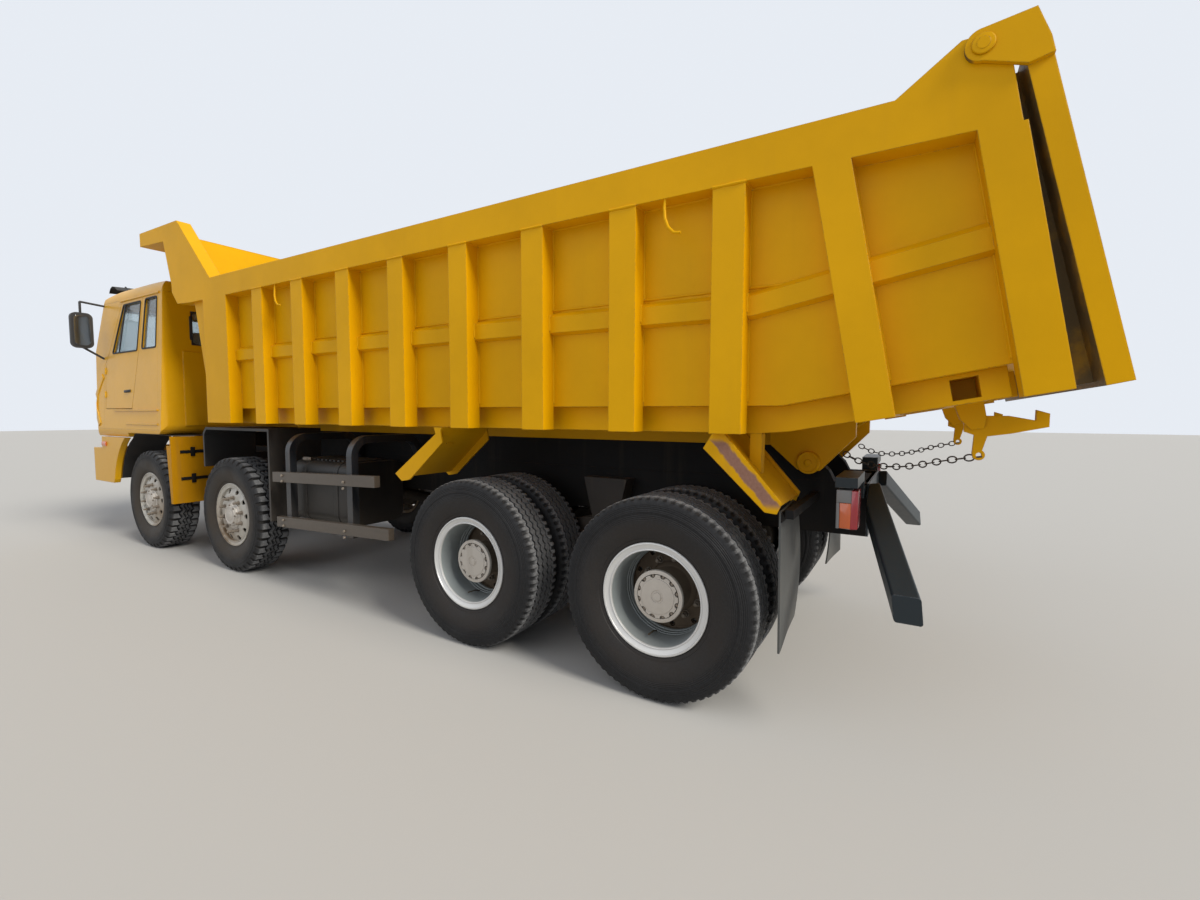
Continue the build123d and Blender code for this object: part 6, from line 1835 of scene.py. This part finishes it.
class TRUCK_OT_stage(bpy.types.Operator):
    """Pale floor and backdrop, soft lamps and the camera"""
    bl_idname = "truck.stage"
    bl_label = "Stage"

    def execute(self, context):
        scene = context.scene
        scene.view_settings.view_transform = "Standard"
        pale, _, shader = new_material("Pale floor")
        shader.inputs["Base Color"].default_value = (0.47, 0.46, 0.44, 1)
        shader.inputs["Roughness"].default_value = 0.9
        half = 60.0
        mesh = bpy.data.meshes.new("floor")
        mesh.from_pydata([(-half, -half, 0), (half, -half, 0), (half, half, 0), (-half, half, 0)], [], [(0, 1, 2, 3)])
        mesh.materials.append(pale)
        floor = bpy.data.objects.new("floor", mesh)
        scene.collection.objects.link(floor)
        world = bpy.data.worlds.new("Studio")
        scene.world = world
        world.use_nodes = True
        tree = world.node_tree
        back = tree.nodes["Background"]
        path = tree.nodes.new("ShaderNodeLightPath")
        seen = maths(tree, "MAXIMUM", maths(tree, "MAXIMUM", path.outputs["Is Camera Ray"],
                                            path.outputs["Is Glossy Ray"]), path.outputs["Is Transmission Ray"])
        tree.links.new(mixed(tree, seen, (0.37, 0.39, 0.43, 1), (0.80, 0.84, 0.90, 1)), back.inputs["Color"])
        back.inputs["Strength"].default_value = 1.0
        sun("key", (-0.775, 0.10, 0.62), 3.6, 22.0, (1.0, 0.96, 0.88))
        sun("fill", (0.30, 0.80, 0.52), 0.60, 60.0, (0.95, 0.97, 1.0))
        lens = bpy.data.cameras.new("camera")
        lens.sensor_width = 36.0
        lens.lens = CAMERA_LENS
        lens.clip_start = 0.05
        lens.clip_end = 200.0
        camera = bpy.data.objects.new("camera", lens)
        scene.collection.objects.link(camera)
        yaw, pitch, roll = (math.radians(a) for a in CAMERA_TURN)
        ahead_of = Vector((math.cos(yaw) * math.cos(pitch), math.sin(yaw) * math.cos(pitch), math.sin(pitch)))
        right = ahead_of.cross(Vector((0, 0, 1))).normalized()
        up = right.cross(ahead_of)
        c, s = math.cos(roll), math.sin(roll)
        right, up = c * right + s * up, -s * right + c * up
        turn = Matrix((right, up, -ahead_of)).transposed().to_4x4()
        camera.matrix_world = Matrix.Translation(CAMERA_PLACE) @ turn
        scene.camera = camera
        return {"FINISHED"}


OPERATORS = (TRUCK_OT_finishes, TRUCK_OT_tyres, TRUCK_OT_rims, TRUCK_OT_seats, TRUCK_OT_door_trim, TRUCK_OT_cab_seals,
             TRUCK_OT_cab_front_trim, TRUCK_OT_grille, TRUCK_OT_mirror_panes, TRUCK_OT_welds, TRUCK_OT_rope_hooks,
             TRUCK_OT_pin_caps, TRUCK_OT_chains, TRUCK_OT_lamps, TRUCK_OT_flaps, TRUCK_OT_fasteners,
             TRUCK_OT_spring_bolts, TRUCK_OT_tank_trim, TRUCK_OT_arch_shade_sheets, TRUCK_OT_mudguard_straps,
             TRUCK_OT_stage)


class TRUCK_PT_panel(bpy.types.Panel):
    """Buttons for each group of pieces"""
    bl_idname = "TRUCK_PT_panel"
    bl_label = "Dump Truck"
    bl_space_type = "VIEW_3D"
    bl_region_type = "UI"
    bl_category = "Dump Truck"

    def draw(self, context):
        for operator in OPERATORS:
            self.layout.operator(operator.bl_idname)


CLASSES = (TruckFinish, TruckTyre, TruckWheel, TruckTrim) + OPERATORS + (TRUCK_PT_panel,)


def register():
    for cls in CLASSES:
        bpy.utils.register_class(cls)
    bpy.types.Scene.truck_finish = PointerProperty(type=TruckFinish)
    bpy.types.Scene.truck_tyre = PointerProperty(type=TruckTyre)
    bpy.types.Scene.truck_wheel = PointerProperty(type=TruckWheel)
    bpy.types.Scene.truck_trim = PointerProperty(type=TruckTrim)


def unregister():
    for cls in reversed(CLASSES):
        bpy.utils.unregister_class(cls)
    del bpy.types.Scene.truck_finish, bpy.types.Scene.truck_tyre
    del bpy.types.Scene.truck_wheel, bpy.types.Scene.truck_trim


def main():
    register()
    for operator in OPERATORS:
        group, name = operator.bl_idname.split(".")
        if "FINISHED" not in getattr(getattr(bpy.ops, group), name)():
            raise RuntimeError("%s did not finish" % operator.bl_idname)


if __name__ == "__main__":
    main()
